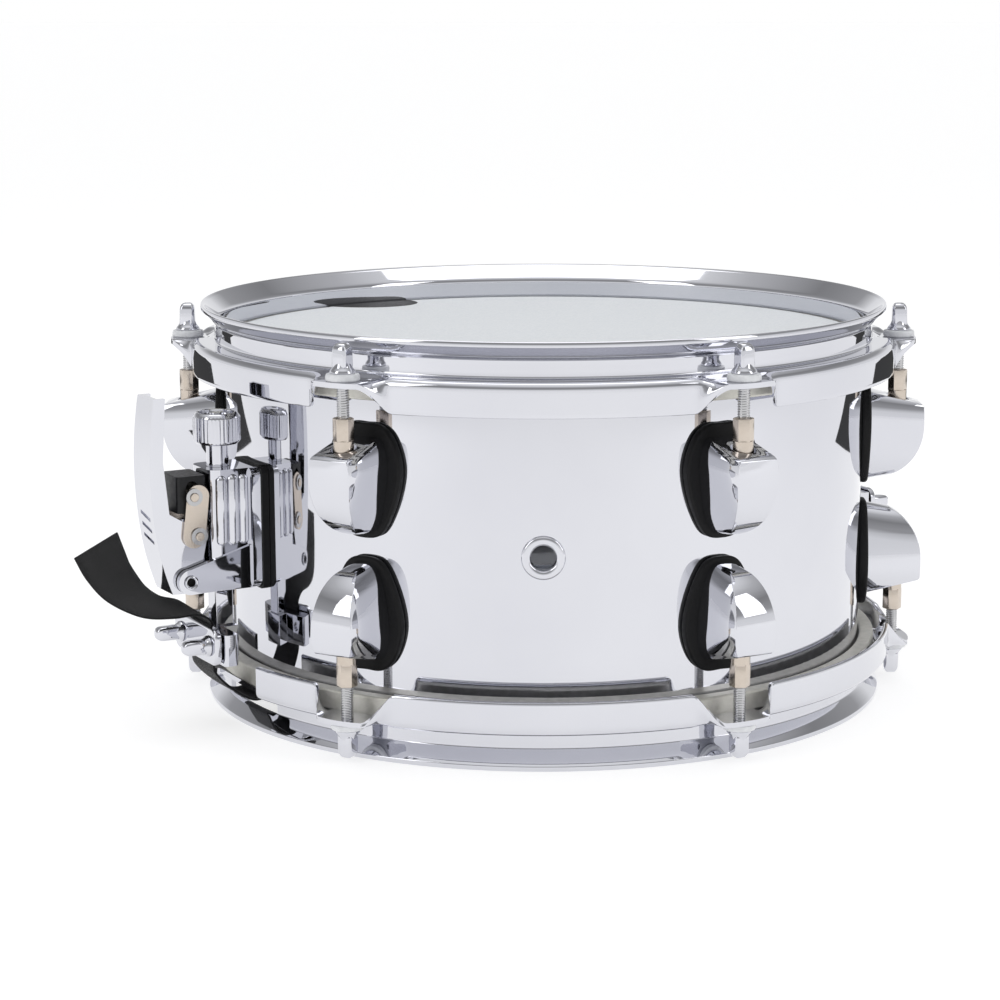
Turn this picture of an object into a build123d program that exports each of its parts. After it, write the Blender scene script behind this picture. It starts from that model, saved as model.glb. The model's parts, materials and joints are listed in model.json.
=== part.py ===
from build123d import *

import os
from math import sqrt

# A 12 x 6 inch chromed steel snare drum. +Z points up along the drum's axis, and the origin is
# on that axis in the plane of the lower rim. Angles go round the drum from the side that faces
# -Y, towards +X. Every piece is drawn at angle 0, where +X runs along the rim and -Y points
# out, and is then turned to its place.

# ------------------------------------------------------------------ driving sizes (mm)
# Shell and its rolled bearing edges
shell_radius = 152.4
shell_wall = 1.2
shell_depth = 152.4
edge_flange = 7.0
edge_land = 2.5
snare_bed_width = 60.0
snare_bed_depth = 0.9

# Hoops: a lip, a wall, a ledge and an apron pressed from one sheet
hoop_rise = 16.8
hoop_sheet = 2.3
hoop_gap = 1.5
lip_flare = 6.3
lip_edge = 2.2
ledge_drop = 16.4
ledge_reach = 10.8
apron_drop = 31.7
ear_drop = 18.2
ear_reach = 21.8
ear_half_width = 10.8
ear_foot = 17.5
ear_web_drop = 27.0

# Heads
film_thickness = 0.3
film_gap = 0.05
collar_depth = 3.0
film_slope = 1.2
flesh_width = 6.8
flesh_height = 9.0

# Tension rods
lug_count = 6
first_lug_angle = 30.0
rod_inset = 7.9
rod_radius = 2.75
rod_length = 42.0
rod_flange_radius = 5.6
rod_flange_height = 1.9
key_side = 6.0
key_height = 11.1
washer_radius = 7.4
washer_height = 3.2

# Lugs
gasket_thickness = 3.6
gasket_top_drop = 38.3
gasket_bottom_drop = 88.9
gasket_top_half = 9.5
gasket_wide_half = 18.5
gasket_wide_drop = 18.0
gasket_bottom_half = 8.5
casing_top_drop = 44.0
casing_height = 43.0
casing_top_half = 9.5
casing_half_width = 13.0
casing_wide_drop = 11.0
casing_bottom_half = 7.5
casing_top_slope = 6.0
casing_depth = 26.0
casing_taper = 7.0
nut_across_flats = 8.0
nut_hex_height = 10.0
nut_barrel_radius = 4.45
nut_barrel_length = 24.0
sleeve_wall = 1.0
sleeve_length = 16.0
lug_screw_radius = 2.0
lug_screw_head = 4.0
lug_screw_head_height = 2.6
lug_washer_height = 1.0
lug_screw_reach = 7.0
lug_screw_low = 10.0
lug_screw_high = 34.0

# Vent
vent_height_offset = -1.0
vent_hole_radius = 7.5
vent_bore_radius = 5.5
vent_flange_radius = 9.6
vent_flange = 1.4
vent_ring_height = 1.3
vent_ring_play = 0.4

# Throw-off, with heights measured from the drum's middle plane
strainer_angle = -60.0
strainer_gasket = 2.6
strainer_screw_rise = 17.0
plate_half_width = 15.0
plate_thickness = 4.5
plate_top = 27.0
plate_bottom = -28.0
tower_half_width = 12.0
tower_reach = 25.6
slider_reach = 17.1
slider_height = 12.0
shaft_radius = 5.0
thread_radius = 3.0
knob_radius = 10.75
knob_bottom = 37.5
knob_height = 14.1
post_side = 8.8
post_top = -7.0
post_length = 38.9
pivot_reach = 36.6
pivot_height = -22.3
pivot_radius = 2.0
pivot_ear_radius = 5.7
lever_half_width = 9.5
lever_sheet = 2.0
lever_length = 61.0
link_pin_radius = 2.0
link_low_reach = 31.4
link_low_height = -2.1
link_high_reach = 33.5
link_high_height = 15.9
link_half_width = 5.3
link_thickness = 1.4
slider_slot_play = 0.7
slider_slot_lift = 4.0

# Clamps, straps and snares
clamp_half_width = 24.0
clamp_block_height = 14.4
clamp_plate_height = 17.0
clamp_plate_thickness = 3.1
clamp_face_reach = 25.8
clamp_screw_spacing = 32.0
clamp_screw_radius = 2.0
clamp_screw_flange = 4.8
clamp_flange_height = 1.5
clamp_block_depth = 7.0
strap_width = 25.0
strap_thickness = 1.2
butt_angle = 120.0
butt_clamp_height = -21.4
butt_screw_rise = 14.0
butt_edge = 7.0
wire_count = 20
wire_radius = 0.9
wire_pitch = 2.05
wire_length = 276.0
end_plate_width = 45.0
end_plate_length = 20.0
end_plate_thickness = 0.8
gate_half_width = 26.0
notch_half_width = 27.0

# Clearances
seat_gap = 0.05
running_gap = 0.05
slide_gap = 0.2
hole_gap = 0.3

# ------------------------------------------------------------------ what follows from them
height = shell_depth + 2 * hoop_rise
middle = height / 2
edge_top = height - hoop_rise
shell_inside = shell_radius - shell_wall
film_reach = shell_radius + 0.45

hoop_wall_inside = shell_radius + hoop_gap
hoop_wall = hoop_wall_inside + hoop_sheet
lip_radius = hoop_wall + lip_flare
apron_radius = hoop_wall + ledge_reach
apron_inside = apron_radius - hoop_sheet
ear_radius = hoop_wall + ear_reach
rod_circle = ear_radius - rod_inset
ledge_top = height - ledge_drop
apron_bottom = height - apron_drop
ear_top = height - ear_drop
ear_under = ear_top - hoop_sheet

lug_seat = shell_radius + gasket_thickness
casing_top = height - casing_top_drop
casing_bottom = casing_top - casing_height
gasket_top = height - gasket_top_drop
gasket_bottom = height - gasket_bottom_drop
lug_angles = [first_lug_angle + n * 360 / lug_count for n in range(lug_count)]

plate_back = shell_radius + strainer_gasket
plate_front = plate_back + plate_thickness
guide_radius = shell_radius + slider_reach
tower_front = shell_radius + tower_reach
pivot = (shell_radius + pivot_reach, middle + pivot_height)
link_low = (shell_radius + link_low_reach, middle + link_low_height)
link_high = (shell_radius + link_high_reach, middle + link_high_height)
clamp_face = shell_radius + clamp_face_reach
clamp_plate_back = clamp_face + strap_thickness + slide_gap
clamp_plate_front = clamp_plate_back + clamp_plate_thickness
strap_reach = clamp_face + (strap_thickness + slide_gap) / 2
post_base = middle + post_top - post_length
wire_height = hoop_rise - film_gap - film_thickness - 0.1 - wire_radius
end_plate_top = wire_height - wire_radius - seat_gap
end_plate_reach = wire_length / 2 + 10.0

side_plane = Plane(origin=(0, 0, 0), x_dir=(0, -1, 0), z_dir=(-1, 0, 0))


# ------------------------------------------------------------------ ways to place and keep
def around(piece, angles):
    """Copies of a piece drawn at angle 0, one at each angle about the drum's axis."""
    with BuildPart() as group:
        for angle in angles:
            with Locations(Location((0, 0, 0), (0, 0, angle))):
                add(piece.part)
    return group


def turned_over(piece):
    """The same piece at the lower end, mirrored through the drum's middle plane."""
    with BuildPart() as copy:
        mirror(piece.part, about=Plane.XY.offset(middle))
    return copy


def keep(piece, name):
    """Label a finished piece and write it to its own file."""
    piece.part.label = name
    export_step(piece.part, f"parts/{name}.step")


def facing(reach):
    """The upright plane square to the radius at angle 0, at a distance from the axis."""
    return Plane.XZ.offset(reach)


def outline(points, rounding):
    """A closed outline through points, with one rounding for each."""
    FilletPolyline(*points, radius=rounding, close=True)


os.makedirs("parts", exist_ok=True)


# ------------------------------------------------------------------ shell
def bearing_profile():
    """The shell's section: a thin wall whose two ends roll inward over a bearing edge."""
    diagonal = shell_wall / sqrt(2)
    flange_drop = edge_flange - edge_land
    outer = [
        (shell_radius - edge_flange, edge_top - flange_drop),
        (shell_radius - edge_land, edge_top),
        (shell_radius, edge_top),
    ]
    inner = [
        (shell_radius - edge_flange + diagonal, edge_top - flange_drop - diagonal),
        (shell_radius - edge_land + shell_wall * (sqrt(2) - 1), edge_top - shell_wall),
        (shell_inside, edge_top - shell_wall),
    ]
    lower_outer = [(r, height - z) for r, z in reversed(outer)]
    lower_inner = [(r, height - z) for r, z in inner]
    outline(
        outer + lower_outer + lower_inner + inner[::-1],
        [0.3, 1.0, 2.0, 2.0, 1.0, 0.3, 0.3, 0.3, 0.6, 0.6, 0.3, 0.3],
    )


with BuildPart() as shell:
    with BuildSketch(Plane.XZ):
        with BuildLine():
            bearing_profile()
        make_face()
    revolve(axis=Axis.Z)
    lug_screw_heights = [casing_bottom + lug_screw_low, casing_bottom + lug_screw_high]
    every_screw_height = lug_screw_heights + [height - z for z in lug_screw_heights]
    hole_length = 3 * shell_wall + 4
    for angle in lug_angles:
        for z in every_screw_height:
            with Locations(Location((0, 0, 0), (0, 0, angle))):
                with Locations(Location((0, -shell_radius, z), (90, 0, 0))):
                    Cylinder(lug_screw_radius + hole_gap, hole_length, mode=Mode.SUBTRACT)
    with Locations(Location((0, -shell_radius, middle + vent_height_offset), (90, 0, 0))):
        Cylinder(vent_hole_radius, hole_length, mode=Mode.SUBTRACT)
    strainer_screw_heights = [middle - strainer_screw_rise, middle + strainer_screw_rise]
    butt_middle = middle + butt_clamp_height
    butt_screw_heights = [butt_middle - butt_screw_rise, butt_middle + butt_screw_rise]
    for angle, heights in ((strainer_angle, strainer_screw_heights), (butt_angle, butt_screw_heights)):
        for z in heights:
            with Locations(Location((0, 0, 0), (0, 0, angle))):
                with Locations(Location((0, -shell_radius, z), (90, 0, 0))):
                    Cylinder(lug_screw_radius + hole_gap, hole_length, mode=Mode.SUBTRACT)
        with Locations(Location((0, 0, 0), (0, 0, angle))):
            with Locations((0, -shell_radius, hoop_rise)):
                Box(snare_bed_width, 30, 2 * snare_bed_depth, mode=Mode.SUBTRACT)
keep(shell, "shell")

vent_height = middle + vent_height_offset
vent_reach = shell_wall + 1.6
with BuildPart() as vent_grommet:
    with BuildSketch(facing(shell_radius - vent_reach)):
        with Locations((0, vent_height)):
            Circle(vent_hole_radius - 0.1)
            Circle(vent_bore_radius, mode=Mode.SUBTRACT)
    extrude(amount=vent_reach + seat_gap)
    with BuildSketch(facing(shell_radius + seat_gap)):
        with Locations((0, vent_height)):
            Circle(vent_flange_radius)
            Circle(vent_bore_radius, mode=Mode.SUBTRACT)
    extrude(amount=vent_flange)
    outer_face = vent_grommet.faces().sort_by(Axis.Y)[0]
    fillet(outer_face.edges(), 0.5)
keep(vent_grommet, "vent_grommet")

with BuildPart() as vent_ring:
    with BuildSketch(facing(shell_inside - vent_ring_height - vent_ring_play)):
        with Locations((0, vent_height)):
            Circle(vent_flange_radius - 0.6)
            Circle(vent_hole_radius, mode=Mode.SUBTRACT)
    extrude(amount=vent_ring_height)
keep(vent_ring, "vent_grommet_ring")


# ------------------------------------------------------------------ hoops
def hoop_profile():
    """The hoop's section in radius and height, one sheet thick all the way."""
    flare_start = height - lip_edge - lip_flare
    outline(
        [
            (lip_radius, height),
            (lip_radius, height - lip_edge),
            (hoop_wall, flare_start),
            (hoop_wall, ledge_top),
            (apron_radius, ledge_top),
            (apron_radius, apron_bottom),
            (apron_inside, apron_bottom),
            (apron_inside, ledge_top - hoop_sheet),
            (hoop_wall_inside, ledge_top - hoop_sheet),
            (hoop_wall_inside, flare_start + hoop_sheet * (sqrt(2) - 1)),
            (lip_radius + lip_edge - hoop_sheet * sqrt(2), height),
        ],
        [0.25, 0.8, 1.5, 1.2, 3.5, 0.5, 0.5, 1.2, 3.4, 3.8, 0.25],
    )


def arch_line(lift, spread, shoulder, foot):
    """The line over an ear: flat across the rod, then down to the apron on each side."""
    FilletPolyline(
        (-notch_half_width, apron_bottom + lift),
        (-ear_foot - spread, apron_bottom + lift),
        (-ear_half_width - spread, ear_under + lift),
        (ear_half_width + spread, ear_under + lift),
        (ear_foot + spread, apron_bottom + lift),
        (notch_half_width, apron_bottom + lift),
        radius=[foot, shoulder, shoulder, foot],
    )


leg_run = ear_foot - ear_half_width
leg_rise = ear_under - apron_bottom
leg_length = sqrt(leg_run**2 + leg_rise**2)
arch_spread = hoop_sheet * (leg_length - leg_run) / leg_rise

with BuildPart() as ear:
    with BuildSketch(facing(apron_inside)):
        with BuildLine():
            arch_line(0, 0, 3.0, 5.0)
            arch_line(hoop_sheet, arch_spread, 5.3, 2.7)
            for end in (-notch_half_width, notch_half_width):
                Line((end, apron_bottom), (end, apron_bottom + hoop_sheet))
        make_face()
    extrude(amount=ear_radius - apron_inside)
    with BuildSketch(side_plane):
        with BuildLine():
            Polyline(
                (apron_inside, apron_bottom),
                (apron_radius, apron_bottom),
                (apron_radius, height - ear_web_drop),
                (ear_radius, ear_under),
                (ear_radius, ear_top),
                (apron_inside, ear_top),
                close=True,
            )
        make_face()
    extrude(amount=2 * notch_half_width, both=True, mode=Mode.INTERSECT)
    with BuildSketch(Plane.XY.offset(apron_bottom)):
        with BuildLine():
            outline(
                [
                    (-notch_half_width, -apron_inside + 4),
                    (notch_half_width, -apron_inside + 4),
                    (notch_half_width, -apron_radius),
                    (ear_half_width + 3.5, -apron_radius - 5),
                    (ear_half_width - 2.0, -ear_radius),
                    (2.0 - ear_half_width, -ear_radius),
                    (-ear_half_width - 3.5, -apron_radius - 5),
                    (-notch_half_width, -apron_radius),
                ],
                [0, 0, 0, 3, 4, 4, 3, 0],
            )
        make_face()
    extrude(amount=apron_drop, mode=Mode.INTERSECT)
    with BuildSketch(Plane.XY):
        Circle(apron_inside)
    extrude(amount=height, mode=Mode.SUBTRACT)

with BuildPart() as ear_arch:
    with BuildSketch(facing(apron_inside - 4)):
        with BuildLine():
            arch_line(0, 0, 3.0, 5.0)
            Polyline(
                (notch_half_width, apron_bottom),
                (notch_half_width, apron_bottom - 3),
                (-notch_half_width, apron_bottom - 3),
                (-notch_half_width, apron_bottom),
            )
        make_face()
    extrude(amount=hoop_sheet + 8)

with BuildPart() as batter_hoop:
    with BuildSketch(Plane.XZ):
        with BuildLine():
            hoop_profile()
        make_face()
    revolve(axis=Axis.Z)
    for angle in lug_angles:
        with Locations(Location((0, 0, 0), (0, 0, angle))):
            add(ear_arch.part, mode=Mode.SUBTRACT)
            add(ear.part)
    with BuildSketch(Plane.XY.offset(ear_under - 1)):
        with PolarLocations(rod_circle, lug_count, start_angle=first_lug_angle - 90):
            Circle(rod_radius + hole_gap)
    extrude(amount=hoop_sheet + 2, mode=Mode.SUBTRACT)
    with BuildSketch(Plane.XY.offset(ear_top)):
        with PolarLocations(rod_circle, lug_count, start_angle=first_lug_angle - 90):
            Circle(washer_radius + hole_gap)
    extrude(amount=washer_height, mode=Mode.SUBTRACT)
keep(batter_hoop, "batter_hoop")

gate_top = hoop_rise - seat_gap - 0.6
with BuildPart() as gate:
    with BuildSketch(facing(hoop_wall_inside - 8)):
        with Locations((0, gate_top)):
            RectangleRounded(2 * gate_half_width, 2 * (gate_top - 7.5), 2.5)
        with Locations((0, gate_top + 5)):
            Rectangle(2 * gate_half_width + 1, 10, mode=Mode.SUBTRACT)
    extrude(amount=20)
    with BuildSketch(facing(hoop_wall + 3.3)):
        with BuildLine():
            FilletPolyline(
                (-notch_half_width - 2, apron_drop + 1),
                (-notch_half_width, apron_drop - 3),
                (-notch_half_width + 2, gate_top - 2),
                (notch_half_width - 2, gate_top - 2),
                (notch_half_width, apron_drop - 3),
                (notch_half_width + 2, apron_drop + 1),
                radius=[2, 3, 3, 2],
                close=False,
            )
            Line((-notch_half_width - 2, apron_drop + 1), (notch_half_width + 2, apron_drop + 1))
        make_face()
    extrude(amount=20)

with BuildPart() as snare_side_hoop:
    add(turned_over(batter_hoop).part)
    for angle in (strainer_angle, butt_angle):
        with Locations(Location((0, 0, 0), (0, 0, angle))):
            add(gate.part, mode=Mode.SUBTRACT)
keep(snare_side_hoop, "snare_side_hoop")

# ------------------------------------------------------------------ heads
with BuildPart() as batter_film:
    under = edge_top + film_gap
    over = under + film_thickness
    with BuildSketch(Plane.XZ):
        with BuildLine():
            Polyline(
                (0, under),
                (shell_radius - film_slope, under),
                (film_reach, edge_top - film_slope),
                (film_reach, edge_top - collar_depth),
                (film_reach + film_thickness, edge_top - collar_depth),
                (film_reach + film_thickness, edge_top - film_slope + 0.1),
                (shell_radius - 1.1, over),
                (0, over),
                close=True,
            )
        make_face()
    revolve(axis=Axis.Z)
keep(batter_film, "batter_head_film")
keep(turned_over(batter_film), "snare_side_head_film")

flesh_inside = film_reach + film_thickness + seat_gap
flesh_top = ledge_top - hoop_sheet - seat_gap
with BuildPart() as batter_flesh_hoop:
    with BuildSketch(Plane.XZ):
        with BuildLine():
            outline(
                [
                    (flesh_inside, flesh_top - flesh_height),
                    (flesh_inside + flesh_width, flesh_top - flesh_height),
                    (flesh_inside + flesh_width, flesh_top),
                    (flesh_inside, flesh_top),
                ],
                [1.0, 1.0, 1.0, 0.3],
            )
        make_face()
    revolve(axis=Axis.Z)
keep(batter_flesh_hoop, "batter_flesh_hoop")
keep(turned_over(batter_flesh_hoop), "snare_side_flesh_hoop")

# ------------------------------------------------------------------ tension rods and washers
washer_top = ear_top + washer_height
flange_top = washer_top + seat_gap + rod_flange_height


with BuildPart() as tension_rod:
    rod_axis = Plane.XY.shift_origin((0, -rod_circle, 0))
    with BuildSketch(rod_axis.offset(washer_top + seat_gap)):
        Circle(rod_flange_radius)
    extrude(amount=rod_flange_height)
    fillet(tension_rod.faces().sort_by(Axis.Z)[-1].edges(), 0.8)
    with BuildSketch(rod_axis.offset(flange_top - 0.2)):
        RectangleRounded(key_side, key_side, 0.5)
    extrude(amount=key_height, taper=0.6)
    fillet(tension_rod.faces().sort_by(Axis.Z)[-1].edges(), 1.2)
    with BuildSketch(rod_axis.offset(washer_top + seat_gap)):
        Circle(rod_radius)
    extrude(amount=-rod_length)
    chamfer(tension_rod.faces().sort_by(Axis.Z)[0].edges(), 0.7)

for number, angle in enumerate(lug_angles, 1):
    keep(around(tension_rod, [angle]), f"upper_tension_rod_{number}")
    keep(around(turned_over(tension_rod), [angle]), f"lower_tension_rod_{number}")

with BuildPart() as rod_washer:
    with BuildSketch(rod_axis.offset(ear_top)):
        Circle(washer_radius)
        Circle(rod_radius + 0.15, mode=Mode.SUBTRACT)
    extrude(amount=washer_height)
    fillet(rod_washer.faces().sort_by(Axis.Z)[-1].edges().sort_by(SortBy.LENGTH)[-1], 0.9)
keep(around(rod_washer, lug_angles), "upper_rod_washers")
keep(around(turned_over(rod_washer), lug_angles), "lower_rod_washers")

# ------------------------------------------------------------------ lugs
with BuildPart() as lug_gasket:
    with BuildSketch(facing(lug_seat)):
        with BuildLine():
            outline(
                [
                    (-gasket_top_half, gasket_top),
                    (gasket_top_half, gasket_top),
                    (gasket_wide_half, gasket_top - gasket_wide_drop),
                    (gasket_bottom_half, gasket_bottom),
                    (-gasket_bottom_half, gasket_bottom),
                    (-gasket_wide_half, gasket_top - gasket_wide_drop),
                ],
                [4, 4, 12, 6, 6, 12],
            )
        make_face()
    extrude(amount=-gasket_thickness - 4)
    with BuildSketch(Plane.XY):
        Circle(shell_radius + seat_gap)
    extrude(amount=height, mode=Mode.SUBTRACT)
    with BuildSketch(facing(lug_seat)):
        with Locations([(0, z) for z in lug_screw_heights]):
            Circle(lug_screw_radius + hole_gap)
    extrude(amount=-gasket_thickness - 4, mode=Mode.SUBTRACT)
keep(around(lug_gasket, lug_angles), "upper_lug_gaskets")
keep(around(turned_over(lug_gasket), lug_angles), "lower_lug_gaskets")

lug_front = lug_seat + casing_depth
nut_bottom = casing_top + 0.5 - nut_barrel_length
sleeve_radius = nut_barrel_radius + running_gap + sleeve_wall
with BuildPart() as lug_casing:
    with BuildSketch(facing(lug_seat)):
        with BuildLine():
            outline(
                [
                    (-casing_top_half, casing_top),
                    (casing_top_half, casing_top),
                    (casing_half_width, casing_top - casing_wide_drop),
                    (casing_bottom_half, casing_bottom),
                    (-casing_bottom_half, casing_bottom),
                    (-casing_half_width, casing_top - casing_wide_drop),
                ],
                [1.5, 1.5, 9, 6, 6, 9],
            )
        make_face()
    extrude(amount=casing_depth, taper=casing_taper)
    with BuildSketch(side_plane):
        with BuildLine():
            rim = lug_seat + 1.5
            belly = casing_bottom + casing_depth
            Polyline((rim, casing_bottom), (lug_seat - 2, casing_bottom), (lug_seat - 2, casing_top))
            brow = casing_top - casing_top_slope
            Polyline((lug_seat - 2, casing_top), (lug_seat, casing_top), (lug_front, brow))
            Line((lug_front, brow), (lug_front, belly))
            EllipticalCenterArc((rim, belly), lug_front - rim, casing_depth, -90, arc_size=90)
        make_face()
    extrude(amount=2 * casing_half_width, both=True, mode=Mode.INTERSECT)
    front = lug_casing.faces().filter_by(Plane.XZ).sort_by(Axis.Y)[0]
    chamfer(front.edges(), 0.7)
    with BuildSketch(rod_axis.offset(nut_bottom - 1)):
        Circle(sleeve_radius + running_gap)
    extrude(amount=casing_height, mode=Mode.SUBTRACT)
    with BuildSketch(facing(lug_seat)):
        with Locations([(0, z) for z in lug_screw_heights]):
            Circle(lug_screw_radius + running_gap)
    extrude(amount=lug_screw_reach + 0.5, mode=Mode.SUBTRACT)
keep(around(lug_casing, lug_angles), "upper_lug_casings")
keep(around(turned_over(lug_casing), lug_angles), "lower_lug_casings")

with BuildPart() as swivel_nut:
    with BuildSketch(rod_axis.offset(nut_bottom)):
        Circle(nut_barrel_radius)
    extrude(amount=nut_barrel_length)
    with BuildSketch(rod_axis.offset(casing_top)):
        RegularPolygon(nut_across_flats / 2, 6, major_radius=False)
    extrude(amount=nut_hex_height)
    top_edges = swivel_nut.faces().sort_by(Axis.Z)[-1].edges()
    chamfer(top_edges, 0.4)
    with BuildSketch(rod_axis.offset(nut_bottom)):
        Circle(rod_radius + running_gap)
    extrude(amount=nut_barrel_length + nut_hex_height, mode=Mode.SUBTRACT)
keep(around(swivel_nut, lug_angles), "upper_swivel_nuts")
keep(around(turned_over(swivel_nut), lug_angles), "lower_swivel_nuts")

with BuildPart() as nut_sleeve:
    with BuildSketch(rod_axis.offset(nut_bottom + 1)):
        Circle(sleeve_radius)
        Circle(nut_barrel_radius + running_gap, mode=Mode.SUBTRACT)
    extrude(amount=sleeve_length)
keep(around(nut_sleeve, lug_angles), "upper_nut_sleeves")
keep(around(turned_over(nut_sleeve), lug_angles), "lower_nut_sleeves")

washer_back = shell_inside - 0.25
screw_seat = washer_back - lug_washer_height - seat_gap


def mounting_screws(heights, tip):
    """Pan-head screws put in from inside the shell, reaching out to a given radius."""
    with BuildPart() as screws:
        with BuildSketch(facing(screw_seat - lug_screw_head_height)):
            with Locations([(0, z) for z in heights]):
                Circle(lug_screw_head)
        extrude(amount=lug_screw_head_height)
        with BuildSketch(facing(screw_seat)):
            with Locations([(0, z) for z in heights]):
                Circle(lug_screw_radius)
        extrude(amount=tip - screw_seat)
    return screws


def screw_washers(heights):
    """Flat washers under the screw heads, inside the shell."""
    with BuildPart() as washers:
        with BuildSketch(facing(washer_back - lug_washer_height)):
            with Locations([(0, z) for z in heights]):
                Circle(lug_screw_head + 0.9)
                Circle(lug_screw_radius + hole_gap, mode=Mode.SUBTRACT)
        extrude(amount=lug_washer_height)
    return washers


keep(around(mounting_screws(every_screw_height, lug_seat + lug_screw_reach), lug_angles), "lug_screws")
keep(around(screw_washers(every_screw_height), lug_angles), "lug_screw_washers")


# ------------------------------------------------------------------ throw-off
def gasket_pad(half_width, low, high, heights):
    """A flat rubber pad between the shell and a bolted casting."""
    with BuildPart() as pad:
        with BuildSketch(facing(plate_back - seat_gap)):
            with Locations((0, (low + high) / 2)):
                RectangleRounded(2 * half_width, high - low, 4)
            with Locations([(0, z) for z in heights]):
                Circle(lug_screw_radius + hole_gap, mode=Mode.SUBTRACT)
        extrude(amount=-strainer_gasket - 4)
        with BuildSketch(Plane.XY):
            Circle(shell_radius + seat_gap)
        extrude(amount=height, mode=Mode.SUBTRACT)
    return pad


body_low = middle + plate_bottom
body_high = middle + plate_top
throw_off_pad = gasket_pad(plate_half_width + 1, body_low - 1, body_high + 1, strainer_screw_heights)
keep(around(throw_off_pad, [strainer_angle]), "throw_off_gasket")

guide_axis = Plane.XY.shift_origin((0, -guide_radius, 0))
cavity_low = middle - 3
cavity_high = body_high - 4
neck_half_width = 4.5
slider_low = middle + 8.5
slider_collar = 7.5
ear_inner = lever_half_width + 0.7
ear_outer = ear_inner + 3.0

with BuildPart() as throw_off_body:
    with BuildSketch(facing(plate_back)):
        with Locations((0, (body_low + body_high) / 2)):
            RectangleRounded(2 * plate_half_width, body_high - body_low, 4)
    extrude(amount=plate_thickness)
    with BuildSketch(Plane.XY.offset(body_low)):
        with BuildLine():
            outline(
                [
                    (-tower_half_width, -plate_front + 2),
                    (tower_half_width, -plate_front + 2),
                    (tower_half_width, -tower_front),
                    (-tower_half_width, -tower_front),
                ],
                [0, 0, 5, 5],
            )
        make_face()
    extrude(amount=body_high - body_low)
    for side in (-1, 1):
        with BuildSketch(Plane.YZ.offset(side * (ear_inner + ear_outer) / 2)):
            with BuildLine():
                Polyline(
                    (-plate_front, body_low + 1),
                    (-pivot[0], pivot[1] - pivot_ear_radius),
                    (-pivot[0] - 2.0, pivot[1] + pivot_ear_radius - 0.6),
                    (-plate_front, body_low + 20),
                    close=True,
                )
            make_face()
            with Locations((-pivot[0], pivot[1])):
                Circle(pivot_ear_radius)
        extrude(amount=(ear_outer - ear_inner) / 2, both=True)
    with BuildSketch(guide_axis.offset(cavity_low)):
        with Locations((0, 0.9)):
            Rectangle(17, 15)
    extrude(amount=cavity_high - cavity_low, mode=Mode.SUBTRACT)
    with BuildSketch(guide_axis.offset(cavity_low)):
        with Locations((0, -8)):
            Rectangle(2 * neck_half_width + 1, 10)
    extrude(amount=body_high - 2 - cavity_low, mode=Mode.SUBTRACT)
    with BuildSketch(guide_axis.offset(cavity_high - 1)):
        Circle(shaft_radius + hole_gap)
    extrude(amount=6, mode=Mode.SUBTRACT)
    with BuildSketch(guide_axis.offset(body_low - 1)):
        Rectangle(post_side + 2 * slide_gap, post_side + 2 * slide_gap)
    extrude(amount=cavity_low - body_low + 2, mode=Mode.SUBTRACT)
    with BuildSketch(Plane.YZ.offset(-20)):
        with Locations((-pivot[0], pivot[1])):
            Circle(pivot_radius + running_gap)
    extrude(amount=40, mode=Mode.SUBTRACT)
    with BuildSketch(facing(plate_back)):
        with Locations([(0, z) for z in strainer_screw_heights]):
            Circle(lug_screw_radius + running_gap)
    extrude(amount=5, mode=Mode.SUBTRACT)
keep(around(throw_off_body, [strainer_angle]), "throw_off_body")
keep(around(mounting_screws(strainer_screw_heights, plate_back + 4.6), [strainer_angle]), "throw_off_screws")

with BuildPart() as lever_pivot_pin:
    with BuildSketch(Plane.YZ.offset(-ear_outer - 0.3)):
        with Locations((-pivot[0], pivot[1])):
            Circle(pivot_radius)
    extrude(amount=2 * ear_outer + 0.6)
    for side in (-1, 1):
        with BuildSketch(Plane.YZ.offset(side * (ear_outer + 0.3))):
            with Locations((-pivot[0], pivot[1])):
                Circle(pivot_radius + 1.2)
        extrude(amount=side * 1.0)
keep(around(lever_pivot_pin, [strainer_angle]), "lever_pivot_pin")


def lever_back(inset):
    """The lever's long curved back, moved in towards the drum by an inset."""
    reach = pivot[0] - inset
    Spline(
        (reach + 14.0, pivot[1] + lever_length + 22.0),
        (reach + 16.6, pivot[1] + 58.0),
        (reach + 15.6, pivot[1] + 30.0),
        (reach + 12.0, pivot[1] + 9.0),
        (reach + 7.3, pivot[1] - 5.5),
    )


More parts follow.
